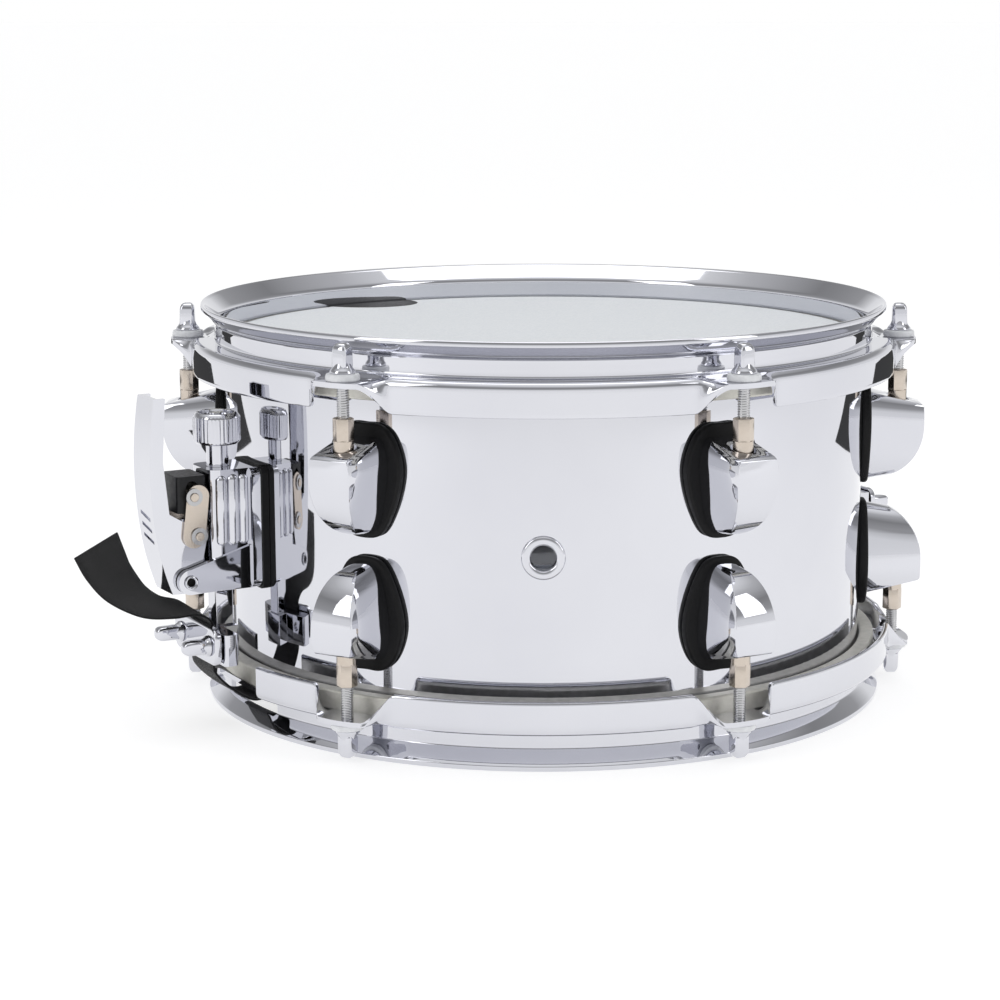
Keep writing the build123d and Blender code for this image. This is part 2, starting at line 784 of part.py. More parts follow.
lever_top = pivot[1] + lever_length + 22.0
with BuildPart() as throw_off_lever:
    with BuildSketch(side_plane):
        with BuildLine():
            lever_back(0)
            lobe = 4.5
            Polyline(
                (pivot[0] + 7.3, pivot[1] - 5.5),
                (pivot[0] + 3, pivot[1] - pivot_ear_radius),
                (pivot[0] - 3, pivot[1] - pivot_ear_radius),
                (pivot[0] - pivot_ear_radius, pivot[1]),
                (link_low[0] - lobe, link_low[1] - 1),
                (link_low[0] - lobe, link_low[1] + 2),
                (link_low[0] - 2, link_low[1] + lobe),
                (link_low[0] + 3, link_low[1] + lobe),
                (pivot[0] + 8.0, pivot[1] + 31.0),
                (pivot[0] + 10.4, pivot[1] + 55.0),
                (pivot[0] + 8.6, lever_top),
                (pivot[0] + 14.0, lever_top),
            )
        make_face()
    extrude(amount=lever_half_width, both=True)
    with BuildSketch(side_plane):
        with BuildLine():
            lever_back(lever_sheet + 0.3)
            far = pivot[0] - 20
            Polyline(
                (pivot[0] + 7.3 - lever_sheet - 0.3, pivot[1] - 5.5),
                (pivot[0] + 5.0, pivot[1] - 12),
                (far, pivot[1] - 12),
                (far, lever_top),
                (pivot[0] + 14.0 - lever_sheet - 0.3, lever_top),
            )
        make_face()
    extrude(amount=lever_half_width - lever_sheet, both=True, mode=Mode.SUBTRACT)
    with BuildSketch(Plane.YZ.offset(-20)):
        with Locations((-pivot[0], pivot[1])):
            Circle(pivot_radius + running_gap)
        with Locations((-link_low[0], link_low[1])):
            Circle(link_pin_radius + running_gap)
    extrude(amount=40, mode=Mode.SUBTRACT)
keep(around(throw_off_lever, [strainer_angle]), "throw_off_lever")

link_inner = lever_half_width + 0.25
link_outer = link_inner + link_thickness
link_span = Vector(link_high[0] - link_low[0], link_high[1] - link_low[1], 0)
link_lean = Vector(1, 0, 0).get_signed_angle(link_span)
link_centre = ((link_low[0] + link_high[0]) / 2, (link_low[1] + link_high[1]) / 2)
with BuildPart() as link_plates:
    for side in (-1, 1):
        with BuildSketch(side_plane.offset(side * (link_inner + link_outer) / 2)):
            with Locations(Location((*link_centre, 0), (0, 0, link_lean))):
                SlotCenterToCenter(link_span.length, 2 * link_half_width)
            with Locations(link_low, link_high):
                Circle(link_pin_radius + running_gap, mode=Mode.SUBTRACT)
        extrude(amount=link_thickness / 2, both=True)
keep(around(link_plates, [strainer_angle]), "link_plates")

pin_end = link_outer + 1.8
with BuildPart() as link_pins:
    with BuildSketch(side_plane.offset(-pin_end)):
        with Locations(link_low, link_high):
            Circle(link_pin_radius)
    extrude(amount=2 * pin_end)
keep(around(link_pins, [strainer_angle]), "link_pins")

with BuildPart() as link_clips:
    for side in (-1, 1):
        with BuildSketch(side_plane.offset(side * (link_outer + 0.55))):
            with Locations(link_low, link_high):
                Circle(link_pin_radius + 1.9)
                Circle(link_pin_radius + running_gap, mode=Mode.SUBTRACT)
        extrude(amount=0.4, both=True)
keep(around(link_clips, [strainer_angle]), "link_clips")

with BuildPart() as slider:
    slider_front = guide_radius + 23.5
    slider_back = tower_front + 1.3
    with BuildSketch(Plane.XY.offset(slider_low)):
        with Locations((0, -(slider_front + slider_back) / 2)):
            RectangleRounded(2 * lever_half_width - 0.6, slider_front - slider_back, 1.5)
    extrude(amount=slider_height + 4.5)
    with BuildSketch(guide_axis.offset(slider_low)):
        Circle(slider_collar)
        with Locations((0, -(slider_back - guide_radius) / 2 - 1)):
            Rectangle(2 * neck_half_width, slider_back - guide_radius + 2)
    extrude(amount=slider_height - 0.5)
    with BuildSketch(guide_axis.offset(slider_low)):
        Circle(shaft_radius + running_gap)
    extrude(amount=slider_height, mode=Mode.SUBTRACT)
    with BuildSketch(side_plane):
        with Locations((link_high[0], link_high[1] + slider_slot_lift / 2)):
            SlotOverall(
                slider_slot_lift + 2 * (link_pin_radius + slider_slot_play),
                2 * (link_pin_radius + slider_slot_play),
                rotation=90,
            )
    extrude(amount=20, both=True, mode=Mode.SUBTRACT)
keep(around(slider, [strainer_angle]), "slider_block")

knob_low = middle + knob_bottom
knob_top = knob_low + knob_height
shaft_low = slider_low - 2.5
shaft_high = knob_low + 8
with BuildPart() as tension_screw:
    for low, tall, radius in (
        (shaft_low, shaft_high - shaft_low, shaft_radius),
        (slider_low - 1.9, 1.7, shaft_radius + 1.5),
        (slider_low + slider_height - 0.3, 1.7, shaft_radius + 1.5),
        (middle - 31, shaft_low - middle + 31, thread_radius),
    ):
        with BuildSketch(guide_axis.offset(low)):
            Circle(radius)
        extrude(amount=tall)
keep(around(tension_screw, [strainer_angle]), "tension_screw")

with BuildPart() as tension_knob:
    with BuildSketch(guide_axis.offset(knob_low)):
        Circle(knob_radius)
    extrude(amount=knob_height)
    rims = tension_knob.edges().filter_by(GeomType.CIRCLE)
    chamfer(rims.group_by(Axis.Z)[0], 1.0)
    chamfer(rims.group_by(Axis.Z)[-1], 1.4)
    with BuildSketch(guide_axis.offset(knob_top - 1.6)):
        Circle(knob_radius - 3)
        Circle(3.2, mode=Mode.SUBTRACT)
    extrude(amount=3, mode=Mode.SUBTRACT)
    with BuildSketch(guide_axis.offset(knob_low)):
        Circle(shaft_radius + seat_gap)
    extrude(amount=8 + seat_gap, mode=Mode.SUBTRACT)
keep(around(tension_knob, [strainer_angle]), "tension_knob")

with BuildPart() as slide_post:
    with BuildSketch(guide_axis.offset(post_base)):
        RectangleRounded(post_side, post_side, 0.6)
    extrude(amount=post_length)
    with BuildSketch(guide_axis.offset(middle - 35.2)):
        Circle(thread_radius + running_gap)
    extrude(amount=post_length, mode=Mode.SUBTRACT)
keep(around(slide_post, [strainer_angle]), "slide_post")


# ------------------------------------------------------------------ clamps
def clamp_block(low):
    """The block behind a strap, tapped for its two screws."""
    with BuildPart() as block:
        back = clamp_face - clamp_block_depth
        with BuildSketch(Plane.XY.offset(low)):
            with Locations((0, -(clamp_face + back) / 2)):
                RectangleRounded(2 * clamp_half_width, clamp_face - back, 2)
        extrude(amount=clamp_block_height)
        with BuildSketch(Plane.XY.offset(low)):
            with Locations((0, -(guide_radius - 5.5 + back + 1) / 2)):
                Rectangle(14, back + 1 - guide_radius + 5.5)
        extrude(amount=clamp_block_height)
    return block


def screw_spots(z):
    """The two places across the strap where clamp screws stand."""
    return [(-clamp_screw_spacing / 2, z), (clamp_screw_spacing / 2, z)]


def clamp_plate(low):
    """The plate that presses a strap against its block."""
    centre = low + clamp_plate_height / 2
    with BuildPart() as plate:
        with BuildSketch(facing(clamp_plate_back)):
            with Locations((0, centre)):
                RectangleRounded(2 * clamp_half_width, clamp_plate_height, 5)
            with Locations(screw_spots(centre)):
                Circle(clamp_screw_radius + hole_gap, mode=Mode.SUBTRACT)
        extrude(amount=clamp_plate_thickness)
        front = plate.faces().filter_by(Plane.XZ).sort_by(Axis.Y)[0]
        fillet(front.outer_wire().edges(), 1.2)
    return plate


with BuildPart() as clamp_screw:
    with BuildSketch(facing(clamp_plate_front + seat_gap)):
        Circle(clamp_screw_flange)
    extrude(amount=clamp_flange_height)
    with BuildSketch(facing(clamp_plate_front + clamp_flange_height - 0.1)):
        RectangleRounded(key_side, key_side, 0.5)
    extrude(amount=key_height, taper=0.6)
    fillet(clamp_screw.faces().sort_by(Axis.Y)[0].edges(), 1.2)
    with BuildSketch(facing(clamp_plate_front + seat_gap)):
        Circle(clamp_screw_radius)
    extrude(amount=-clamp_plate_thickness - 7.5)


def clamp_screws(z):
    """The two square-headed screws that close a clamp."""
    with BuildPart() as screws:
        for across, up in screw_spots(z):
            with Locations((across, 0, up)):
                add(clamp_screw.part)
    return screws


clamp_low = post_base - clamp_block_height
clamp_plate_low = clamp_low + 0.3
clamp_screw_height = clamp_plate_low + clamp_plate_height / 2
with BuildPart() as throw_off_clamp:
    add(clamp_block(clamp_low).part)
    with BuildSketch(facing(clamp_face)):
        with Locations(screw_spots(clamp_screw_height)):
            Circle(clamp_screw_radius + running_gap)
    extrude(amount=-8, mode=Mode.SUBTRACT)
keep(around(throw_off_clamp, [strainer_angle]), "throw_off_clamp_block")
keep(around(clamp_plate(clamp_plate_low), [strainer_angle]), "throw_off_clamp_plate")
keep(around(clamp_screws(clamp_screw_height), [strainer_angle]), "throw_off_clamp_screws")


# ------------------------------------------------------------------ butt plate
butt_low = butt_middle - clamp_block_height / 2
butt_screw = butt_middle
butt_edges = (butt_screw_heights[0] - butt_edge, butt_screw_heights[1] + butt_edge)
butt_pad = gasket_pad(plate_half_width, butt_edges[0] - 1, butt_edges[1] + 1, butt_screw_heights)
keep(around(butt_pad, [butt_angle]), "butt_gasket")

with BuildPart() as butt_body:
    with BuildSketch(facing(plate_back)):
        with Locations((0, sum(butt_edges) / 2)):
            RectangleRounded(2 * plate_half_width - 2, butt_edges[1] - butt_edges[0], 4)
    extrude(amount=plate_thickness)
    with BuildSketch(Plane.XY.offset(butt_low)):
        with BuildLine():
            Polyline(
                (-9, -plate_front + 1),
                (-9, -clamp_face + clamp_block_depth + 2),
                (-clamp_half_width, -clamp_face + clamp_block_depth),
                (-clamp_half_width, -clamp_face),
                (clamp_half_width, -clamp_face),
                (clamp_half_width, -clamp_face + clamp_block_depth),
                (9, -clamp_face + clamp_block_depth + 2),
                (9, -plate_front + 1),
                close=True,
            )
        make_face()
    extrude(amount=clamp_block_height)
    with BuildSketch(facing(clamp_face)):
        with Locations(screw_spots(butt_screw)):
            Circle(clamp_screw_radius + running_gap)
    extrude(amount=-8, mode=Mode.SUBTRACT)
    with BuildSketch(facing(plate_back)):
        with Locations([(0, z) for z in butt_screw_heights]):
            Circle(lug_screw_radius + running_gap)
    extrude(amount=plate_thickness + 1, mode=Mode.SUBTRACT)
keep(around(butt_body, [butt_angle]), "butt_body")
keep(around(clamp_plate(butt_screw - clamp_plate_height / 2), [butt_angle]), "butt_clamp_plate")
keep(around(clamp_screws(butt_screw), [butt_angle]), "butt_clamp_screws")
keep(around(mounting_screws(butt_screw_heights, plate_back + 4.2), [butt_angle]), "butt_screws")

# ------------------------------------------------------------------ snares and straps
with BuildPart() as snare_wires:
    with BuildSketch(facing(-wire_length / 2)):
        with Locations((0, wire_height)):
            with GridLocations(wire_pitch, 1, wire_count, 1):
                Circle(wire_radius)
    extrude(amount=wire_length)
keep(around(snare_wires, [strainer_angle]), "snare_wires")

with BuildPart() as end_plate:
    with BuildSketch(facing(end_plate_reach - end_plate_length)):
        with Locations((0, end_plate_top - end_plate_thickness / 2)):
            Rectangle(end_plate_width, end_plate_thickness)
    extrude(amount=end_plate_length)
keep(around(end_plate, [strainer_angle, butt_angle]), "snare_end_plates")


def strap(points, rounding):
    """A strap's solid: a flat strip along a side route, as wide as the strap."""
    with BuildPart() as strip:
        with BuildSketch(side_plane):
            with BuildLine() as route:
                FilletPolyline(*points, radius=rounding)
            trace(route.line, line_width=strap_thickness)
        extrude(amount=strap_width / 2, both=True)
    return strip


strap_under = end_plate_top - end_plate_thickness - seat_gap - strap_thickness / 2
strap_route = [
    (end_plate_reach - end_plate_length + 4, strap_under),
    (end_plate_reach + 3, strap_under),
    (hoop_wall + 3.8, strap_under - 0.6),
    (strap_reach, clamp_low - 5.0),
]
strap_join = (strap_reach, clamp_low - 0.3)
keep(around(strap(strap_route + [strap_join], [8, 6, 3]), [strainer_angle]), "snare_strap")
strap_tail = [
    (strap_reach, clamp_low),
    (strap_reach, clamp_low + 19.8),
    (strap_reach + 8.0, clamp_low + 24.0),
    (strap_reach + 24.0, clamp_low + 26.0),
    (strap_reach + 39.0, clamp_low + 38.0),
    (strap_reach + 49.0, clamp_low + 58.0),
]
keep(around(strap(strap_tail, [4, 8, 14, 14]), [strainer_angle]), "strap_tail")
butt_strap_top = (strap_reach, butt_screw + clamp_plate_height / 2 + 4)
keep(around(strap(strap_route + [butt_strap_top], [8, 6, 3]), [butt_angle]), "butt_strap")
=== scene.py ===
# %% [markdown]
# # A chromed snare drum
# A small steel snare drum is nearly all mirror: a rolled shell, two pressed hoops, twelve lugs and a
# throw-off, all plated. A mirror shows its own shape only through what it reflects, so every
# surface here is modelled smooth and rounded, and the room around it is soft and pale with a
# two dark cards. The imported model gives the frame: each piece is placed from its boxes.

# %% Load the frame
import json
import math
import bmesh
import bpy
from mathutils import Matrix, Vector


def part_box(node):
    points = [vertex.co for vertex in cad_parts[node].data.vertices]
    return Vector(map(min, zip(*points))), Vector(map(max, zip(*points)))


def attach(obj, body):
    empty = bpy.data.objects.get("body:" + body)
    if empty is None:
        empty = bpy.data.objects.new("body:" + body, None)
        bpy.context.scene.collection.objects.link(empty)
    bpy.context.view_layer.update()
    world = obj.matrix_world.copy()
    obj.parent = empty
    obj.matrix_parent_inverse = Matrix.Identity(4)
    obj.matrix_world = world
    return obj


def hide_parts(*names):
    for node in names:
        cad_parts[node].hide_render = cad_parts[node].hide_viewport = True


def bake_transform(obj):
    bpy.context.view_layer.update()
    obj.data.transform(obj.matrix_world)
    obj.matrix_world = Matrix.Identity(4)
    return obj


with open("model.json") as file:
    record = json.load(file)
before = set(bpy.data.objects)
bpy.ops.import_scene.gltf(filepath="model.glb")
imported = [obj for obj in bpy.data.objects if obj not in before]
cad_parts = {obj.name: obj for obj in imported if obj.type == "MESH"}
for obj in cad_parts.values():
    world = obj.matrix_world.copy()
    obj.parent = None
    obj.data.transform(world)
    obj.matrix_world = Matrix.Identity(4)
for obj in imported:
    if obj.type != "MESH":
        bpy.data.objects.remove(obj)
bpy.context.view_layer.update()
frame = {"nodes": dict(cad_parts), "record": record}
nodes = frame["nodes"]
bpy.ops.object.select_all(action="DESELECT")
MM = 0.001

# %% [markdown]
# ## Camera
# A drum looks truest through a long lens from a little above its top rim. The camera
# looks along +Y from far off, tipped down by eleven degrees, and a small shift keeps the drum
# where it stands in the frame.

# %% Place the camera
camera_data = bpy.data.cameras.new("studio_camera")
camera = bpy.data.objects.new("studio_camera", camera_data)
bpy.context.scene.collection.objects.link(camera)
camera.location = (0.0, -1.2475, 0.3287)
camera.rotation_euler = (math.radians(79.11), 0.0, 0.0)
camera_data.lens = 94.4
camera_data.sensor_width = 36.0
camera_data.shift_x = -0.0434
camera_data.shift_y = -0.0018
bpy.context.scene.camera = camera
print("camera looks down by", round(90 - math.degrees(camera.rotation_euler.x), 2), "degrees")

# %% [markdown]
# ## Floor, surround and lamps
# The floor is one wide pale sheet. The sky is white low down and greyer higher up, so a wall of
# chrome reads pale while a sloping lip reads darker. Dark cards lie on the floor to either side,
# hidden from the camera: a wall seen edge-on mirrors them, which draws the thin dark outlines
# that make polished metal look like metal.

# %% Set a node's inputs
def tune(node, settings):
    """Set a shader node's inputs by name."""
    for name, value in settings.items():
        node.inputs[name].default_value = value


# %% Lay the floor
bpy.ops.mesh.primitive_plane_add(size=60.0, location=(0.0, 0.0, 0.0))
floor = bpy.context.object
floor.name = "studio_floor"
floor_paint = bpy.data.materials.new("studio_floor")
floor_paint.use_nodes = True
tune(floor_paint.node_tree.nodes["Principled BSDF"], {
    "Base Color": (0.5, 0.5, 0.5, 1.0),
    "Roughness": 0.7,
    "Specular IOR Level": 0.1,
    "Emission Color": (1.0, 1.0, 1.0, 1.0),
    "Emission Strength": 0.68,
})
floor.data.materials.append(floor_paint)


# %% Lay the dark cards
def dark_card(name, corners, shade):
    """A flat card through four corners that mirrors show and the camera doesn't."""
    mesh = bpy.data.meshes.new(name)
    mesh.from_pydata([Vector(c) for c in corners], [], [(0, 1, 2, 3)])
    card = bpy.data.objects.new(name, mesh)
    bpy.context.scene.collection.objects.link(card)
    paint = bpy.data.materials.new(name)
    paint.use_nodes = True
    tune(paint.node_tree.nodes["Principled BSDF"], {
        "Base Color": (shade, shade, shade, 1),
        "Roughness": 1.0,
        "Specular IOR Level": 0.0,
    })
    card.data.materials.append(paint)
    card.visible_camera = False
    card.visible_diffuse = False
    card.visible_shadow = False
    return card


card_lift = 0.001
card_shade = 0.08
card_corners = [(0.40, 0.60), (0.85, 0.45), (2.0, 3.2), (1.2, 4.0)]
for name, side in (("floor_card_left", -1), ("floor_card_right", 1)):
    dark_card(name, [(side * x, y, card_lift) for x, y in card_corners], card_shade)


# %% Hang the lamps
def soft_lamp(name, place, aim, width, tall, power):
    """A rectangular soft light that looks at a point."""
    data = bpy.data.lights.new(name, "AREA")
    data.shape = "RECTANGLE"
    data.size = width
    data.size_y = tall
    data.energy = power
    lamp = bpy.data.objects.new(name, data)
    bpy.context.scene.collection.objects.link(lamp)
    lamp.location = place
    lamp.rotation_euler = (Vector(aim) - Vector(place)).to_track_quat("-Z", "Y").to_euler()
    return lamp


soft_lamp("left_softbox", (-1.4, -1.1, 1.1), (0, 0, 0.1), 0.7, 1.2, 5)
soft_lamp("right_softbox", (1.5, -0.8, 1.0), (0, 0, 0.1), 0.6, 1.2, 4)
soft_lamp("top_softbox", (0.0, 0.3, 1.7), (0, 0, 0.1), 1.4, 1.0, 5)

# %% Paint the surround
world = bpy.data.worlds.new("studio_surround")
bpy.context.scene.world = world
world.use_nodes = True
sky_nodes = world.node_tree.nodes
sky_links = world.node_tree.links
sky = sky_nodes["Background"]
direction = sky_nodes.new("ShaderNodeTexCoord")
split = sky_nodes.new("ShaderNodeSeparateXYZ")
ramp = sky_nodes.new("ShaderNodeValToRGB")
sky_bands = [(0.0, 0.98), (0.16, 0.92), (0.30, 0.42), (0.55, 0.30), (0.78, 0.62), (0.92, 1.0)]
while len(ramp.color_ramp.elements) < len(sky_bands):
    ramp.color_ramp.elements.new(0.5)
for stop, (place, shade) in zip(ramp.color_ramp.elements, sky_bands):
    stop.position = place
    stop.color = (shade * 0.985, shade * 0.99, shade, 1)
sky_links.new(direction.outputs["Generated"], split.inputs[0])
sky_links.new(split.outputs["Z"], ramp.inputs[0])
sky_links.new(ramp.outputs["Color"], sky.inputs["Color"])
sky.inputs["Strength"].default_value = 0.95
backdrop = sky_nodes.new("ShaderNodeBackground")
rays = sky_nodes.new("ShaderNodeLightPath")
either = sky_nodes.new("ShaderNodeMixShader")
sky_links.new(rays.outputs["Is Camera Ray"], either.inputs[0])
sky_links.new(sky.outputs[0], either.inputs[1])
sky_links.new(backdrop.outputs[0], either.inputs[2])
backdrop.inputs["Color"].default_value = (1, 1, 1, 1)
sky_links.new(either.outputs[0], sky_nodes["World Output"].inputs["Surface"])
bpy.context.scene.view_settings.view_transform = "Standard"
bpy.context.scene.view_settings.look = "None"


# %% [markdown]
# ## Finishes
# Every finish is one small node tree. A noise read from Object coordinates shifts the colour or
# the roughness a little, and a finer one lifts the surface through Bump, so that no finish is one
# flat number. Object coordinates are in metres, so a scale of 400 is a grain of about two
# millimetres.

# %% A finish with a grain
def finish(name, dark, light, rough, grain=300.0, bump=0.0, bump_depth=0.0001, metal=0.0):
    """A node material whose colour and roughness vary with a noise, with an optional fine bump."""
    paint = bpy.data.materials.new(name)
    paint.use_nodes = True
    tree = paint.node_tree
    shader = tree.nodes["Principled BSDF"]
    shader.inputs["Metallic"].default_value = metal
    place = tree.nodes.new("ShaderNodeTexCoord")
    noise = tree.nodes.new("ShaderNodeTexNoise")
    tune(noise, {"Scale": grain, "Detail": 4.0})
    colour = tree.nodes.new("ShaderNodeValToRGB")
    colour.color_ramp.elements[0].position = 0.35
    colour.color_ramp.elements[0].color = (*dark, 1)
    colour.color_ramp.elements[1].position = 0.65
    colour.color_ramp.elements[1].color = (*light, 1)
    gloss = tree.nodes.new("ShaderNodeMapRange")
    tune(gloss, {"From Min": 0.3, "From Max": 0.7, "To Min": rough[0], "To Max": rough[1]})
    tree.links.new(place.outputs["Object"], noise.inputs["Vector"])
    tree.links.new(noise.outputs["Fac"], colour.inputs["Fac"])
    tree.links.new(noise.outputs["Fac"], gloss.inputs["Value"])
    tree.links.new(colour.outputs["Color"], shader.inputs["Base Color"])
    tree.links.new(gloss.outputs["Result"], shader.inputs["Roughness"])
    if bump:
        fine = tree.nodes.new("ShaderNodeTexNoise")
        tune(fine, {"Scale": grain * 4, "Detail": 6.0})
        lift = tree.nodes.new("ShaderNodeBump")
        tune(lift, {"Strength": bump, "Distance": bump_depth})
        tree.links.new(place.outputs["Object"], fine.inputs["Vector"])
        tree.links.new(fine.outputs["Fac"], lift.inputs["Height"])
        tree.links.new(lift.outputs["Normal"], shader.inputs["Normal"])
    return paint


# %% Mix the metals
chrome = finish(
    "chrome_plate", (0.65, 0.655, 0.70), (0.69, 0.695, 0.735), (0.02, 0.05), grain=9, metal=1.0)
warm_nickel = finish(
    "warm_nickel_plate", (0.58, 0.51, 0.44), (0.63, 0.56, 0.49), (0.16, 0.26), 300, 0.05, metal=1.0)
dull_nickel = finish(
    "dull_nickel_plate", (0.48, 0.48, 0.49), (0.54, 0.54, 0.55), (0.18, 0.28), 300, 0.05, metal=1.0)
bare_aluminium = finish(
    "bare_aluminium", (0.70, 0.69, 0.62), (0.82, 0.80, 0.74), (0.35, 0.5), 260, 0.2, metal=0.35)

# %% Mix the plastics, rubber and film
black_rubber = finish("black_rubber", (0.003, 0.003, 0.0035), (0.007, 0.007, 0.008), (0.42, 0.6), 500, 0.3)
tune(black_rubber.node_tree.nodes["Principled BSDF"], {"Specular IOR Level": 0.2})
black_nylon = finish("black_nylon", (0.005, 0.005, 0.006), (0.010, 0.010, 0.012), (0.3, 0.45), 600, 0.3)
tune(black_nylon.node_tree.nodes["Principled BSDF"], {"Specular IOR Level": 0.35})
white_nylon = finish("white_nylon", (0.72, 0.73, 0.75), (0.80, 0.81, 0.83), (0.3, 0.42), 400, 0.15)
coated_film = finish("coated_film", (0.80, 0.83, 0.86), (0.88, 0.90, 0.92), (0.55, 0.8), 900, 0.6, 0.0002)
clear_film = finish("clear_film", (0.86, 0.87, 0.88), (0.92, 0.93, 0.94), (0.03, 0.08), 60)
tune(clear_film.node_tree.nodes["Principled BSDF"], {"Transmission Weight": 0.9, "IOR": 1.2})
print("finishes", len(bpy.data.materials))


# %% [markdown]
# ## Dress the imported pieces
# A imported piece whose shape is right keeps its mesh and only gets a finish. Pieces that are
# modelled again below take the finish of the same name.

# %% Give each node its finish
finish_of_slot = {
    "chrome": chrome,
    "warm_nickel": warm_nickel,
    "nickel": dull_nickel,
    "black_rubber": black_rubber,
    "white_nylon": white_nylon,
    "coated_film": coated_film,
    "clear_film": clear_film,
    "flesh_hoop_alloy": bare_aluminium,
    "woven_strap": black_nylon,
    "black_nylon": black_nylon,
}
slot_of = {part["node"]: part["material_slot"] for part in frame["record"]["subparts"]}
body_of = {n: b for b, members in frame["record"]["behaviour"]["bodies"].items() for n in members}
for name, node in nodes.items():
    node.data.materials.clear()
    node.data.materials.append(finish_of_slot[slot_of[name]])
print("dressed", len(nodes))


# %% [markdown]
# ## Turning
# Most of a drum is turned or rolled, so most of its pieces are an outline carried round an axis.
# The outline is drawn as by hand: one point is extruded from corner to corner, and Spin carries
# the line round. Doubles are merged, and the faces are turned to point outward.

# %% Helpers for turned and placed pieces
def settle(piece, paint, angle=35.0):
    """Merge doubles, point faces outward, smooth and paint a piece that is in edit mode."""
    bpy.ops.mesh.select_all(action="SELECT")
    bpy.ops.mesh.remove_doubles(threshold=0.000005)
    bpy.ops.mesh.normals_make_consistent(inside=False)
    bpy.ops.object.mode_set(mode="OBJECT")
    bpy.ops.object.shade_smooth_by_angle(angle=math.radians(angle))
    piece.data.materials.clear()
    piece.data.materials.append(paint)
    piece.select_set(False)
    return piece


def draw_line(name, points):
    """Start a piece as one point and extrude it through the points. Leaves edit mode on."""
    bpy.ops.object.select_all(action="DESELECT")
    bpy.ops.mesh.primitive_plane_add(size=0.001, location=points[0])
    piece = bpy.context.object
    piece.name = name
    bpy.ops.object.transform_apply(location=True)
    bpy.ops.object.mode_set(mode="EDIT")
    bpy.ops.mesh.merge(type="CENTER")
    for last, point in zip(points, points[1:]):
        step = Vector(point) - Vector(last)
        bpy.ops.mesh.extrude_region_move(TRANSFORM_OT_translate={"value": step})
    return piece


def turned(name, outline, paint, centre=(0.0, 0.0), steps=96, angle=35.0):
    """A piece turned about an upright axis from (radius, height) points in metres."""
    line = [(centre[0] + r, centre[1], z) for r, z in outline]
    piece = draw_line(name, line)
    bpy.ops.mesh.select_all(action="SELECT")
    bpy.ops.mesh.spin(steps=steps, angle=math.tau, center=(centre[0], centre[1], 0), axis=(0, 0, 1))
    return settle(piece, paint, angle)


def bent(corners, roundings, pieces=5):
    """Points along a line whose corners are rounded off by arcs, as a sheet is bent."""
    points = [Vector(corners[0])]
    for before, corner, after, radius in zip(corners, corners[1:], corners[2:], roundings):
        corner, toward, away = Vector(corner), Vector(before), Vector(after)
        toward = (toward - corner).normalized()
        away = (away - corner).normalized()
        half = toward.angle(away) / 2
        reach = radius / math.tan(half)
        centre = corner + (toward + away).normalized() * (radius / math.sin(half))
        start = corner + toward * reach - centre
        finish_at = corner + away * reach - centre
        for i in range(pieces + 1):
            mixed = start.lerp(finish_at, i / pieces)
            points.append(centre + mixed.normalized() * radius)
    points.append(Vector(corners[-1]))
    return [tuple(p) for p in points]


def put(piece, matrix):
    """Carry a finished mesh to its place, so its object stays at the origin."""
    piece.data.transform(matrix)
    piece.data.update()
    return piece


def twin(piece, name, matrix):
    """A copy of a piece with its own mesh, carried to another place."""
    other = piece.copy()
    other.data = piece.data.copy()
    other.name = name
    bpy.context.scene.collection.objects.link(other)
    put(other, matrix)
    if matrix.determinant() < 0:
        other.data.flip_normals()
    return other


def about_drum(degrees):
    """The turn that carries a piece drawn on the -Y side to its angle round the drum."""
    return Matrix.Rotation(math.radians(degrees), 4, "Z")


def joined(name, pieces):
    """Several finished pieces joined into one."""
    bpy.ops.object.select_all(action="DESELECT")
    for piece in pieces:
        piece.select_set(True)
    bpy.context.view_layer.objects.active = pieces[0]
    bpy.ops.object.join()
    pieces[0].name = name
    pieces[0].select_set(False)
    return pieces[0]


def carve(piece, cutter, how):
    """Apply one Boolean and drop the cutter."""
    cut = piece.modifiers.new("carve", "BOOLEAN")
    cut.object = cutter
    cut.operation = how
    cut.solver = "EXACT"
    bpy.context.view_layer.objects.active = piece
    bpy.ops.object.modifier_apply(modifier="carve")
    bpy.data.objects.remove(cutter)
    return piece


def stands_for(piece, node):
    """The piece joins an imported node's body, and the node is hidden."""
    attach(piece, body_of[node])
    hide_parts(node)
    return piece


def flipped(height):
    """The mirror that carries a piece at the top of the drum to the bottom."""
    return Matrix.Translation((0, 0, height)) @ Matrix.Scale(-1, 4, (0, 0, 1))


# %% [markdown]
# ## Sizes read from the frame
# The drum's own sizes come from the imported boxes, so the new pieces fit the old ones.

# %% Measure the frame
shell_low, shell_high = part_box("shell")
shell_radius = shell_high.x
drum_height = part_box("batter_hoop")[1].z
lug_angles = [30 + 60 * n for n in range(6)]
rod_low, rod_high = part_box("upper_tension_rod_1")
rod_spot = (rod_low + rod_high) / 2
rod_circle = math.hypot(rod_spot.x, rod_spot.y)
ear_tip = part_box("batter_hoop")[1].x
washer_low, washer_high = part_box("upper_rod_washers")
print("shell", round(shell_radius, 4), "height", round(drum_height, 4), "rods on", round(rod_circle, 4))

# %% [markdown]
# ## Shell
# The shell is one rolled sheet with its ends turned inward over a bearing edge. Its wall is a
# clean cylinder, and only a fine outline with small arcs at the edges keeps the mirror true.
# The vent hole is bored with a Boolean.

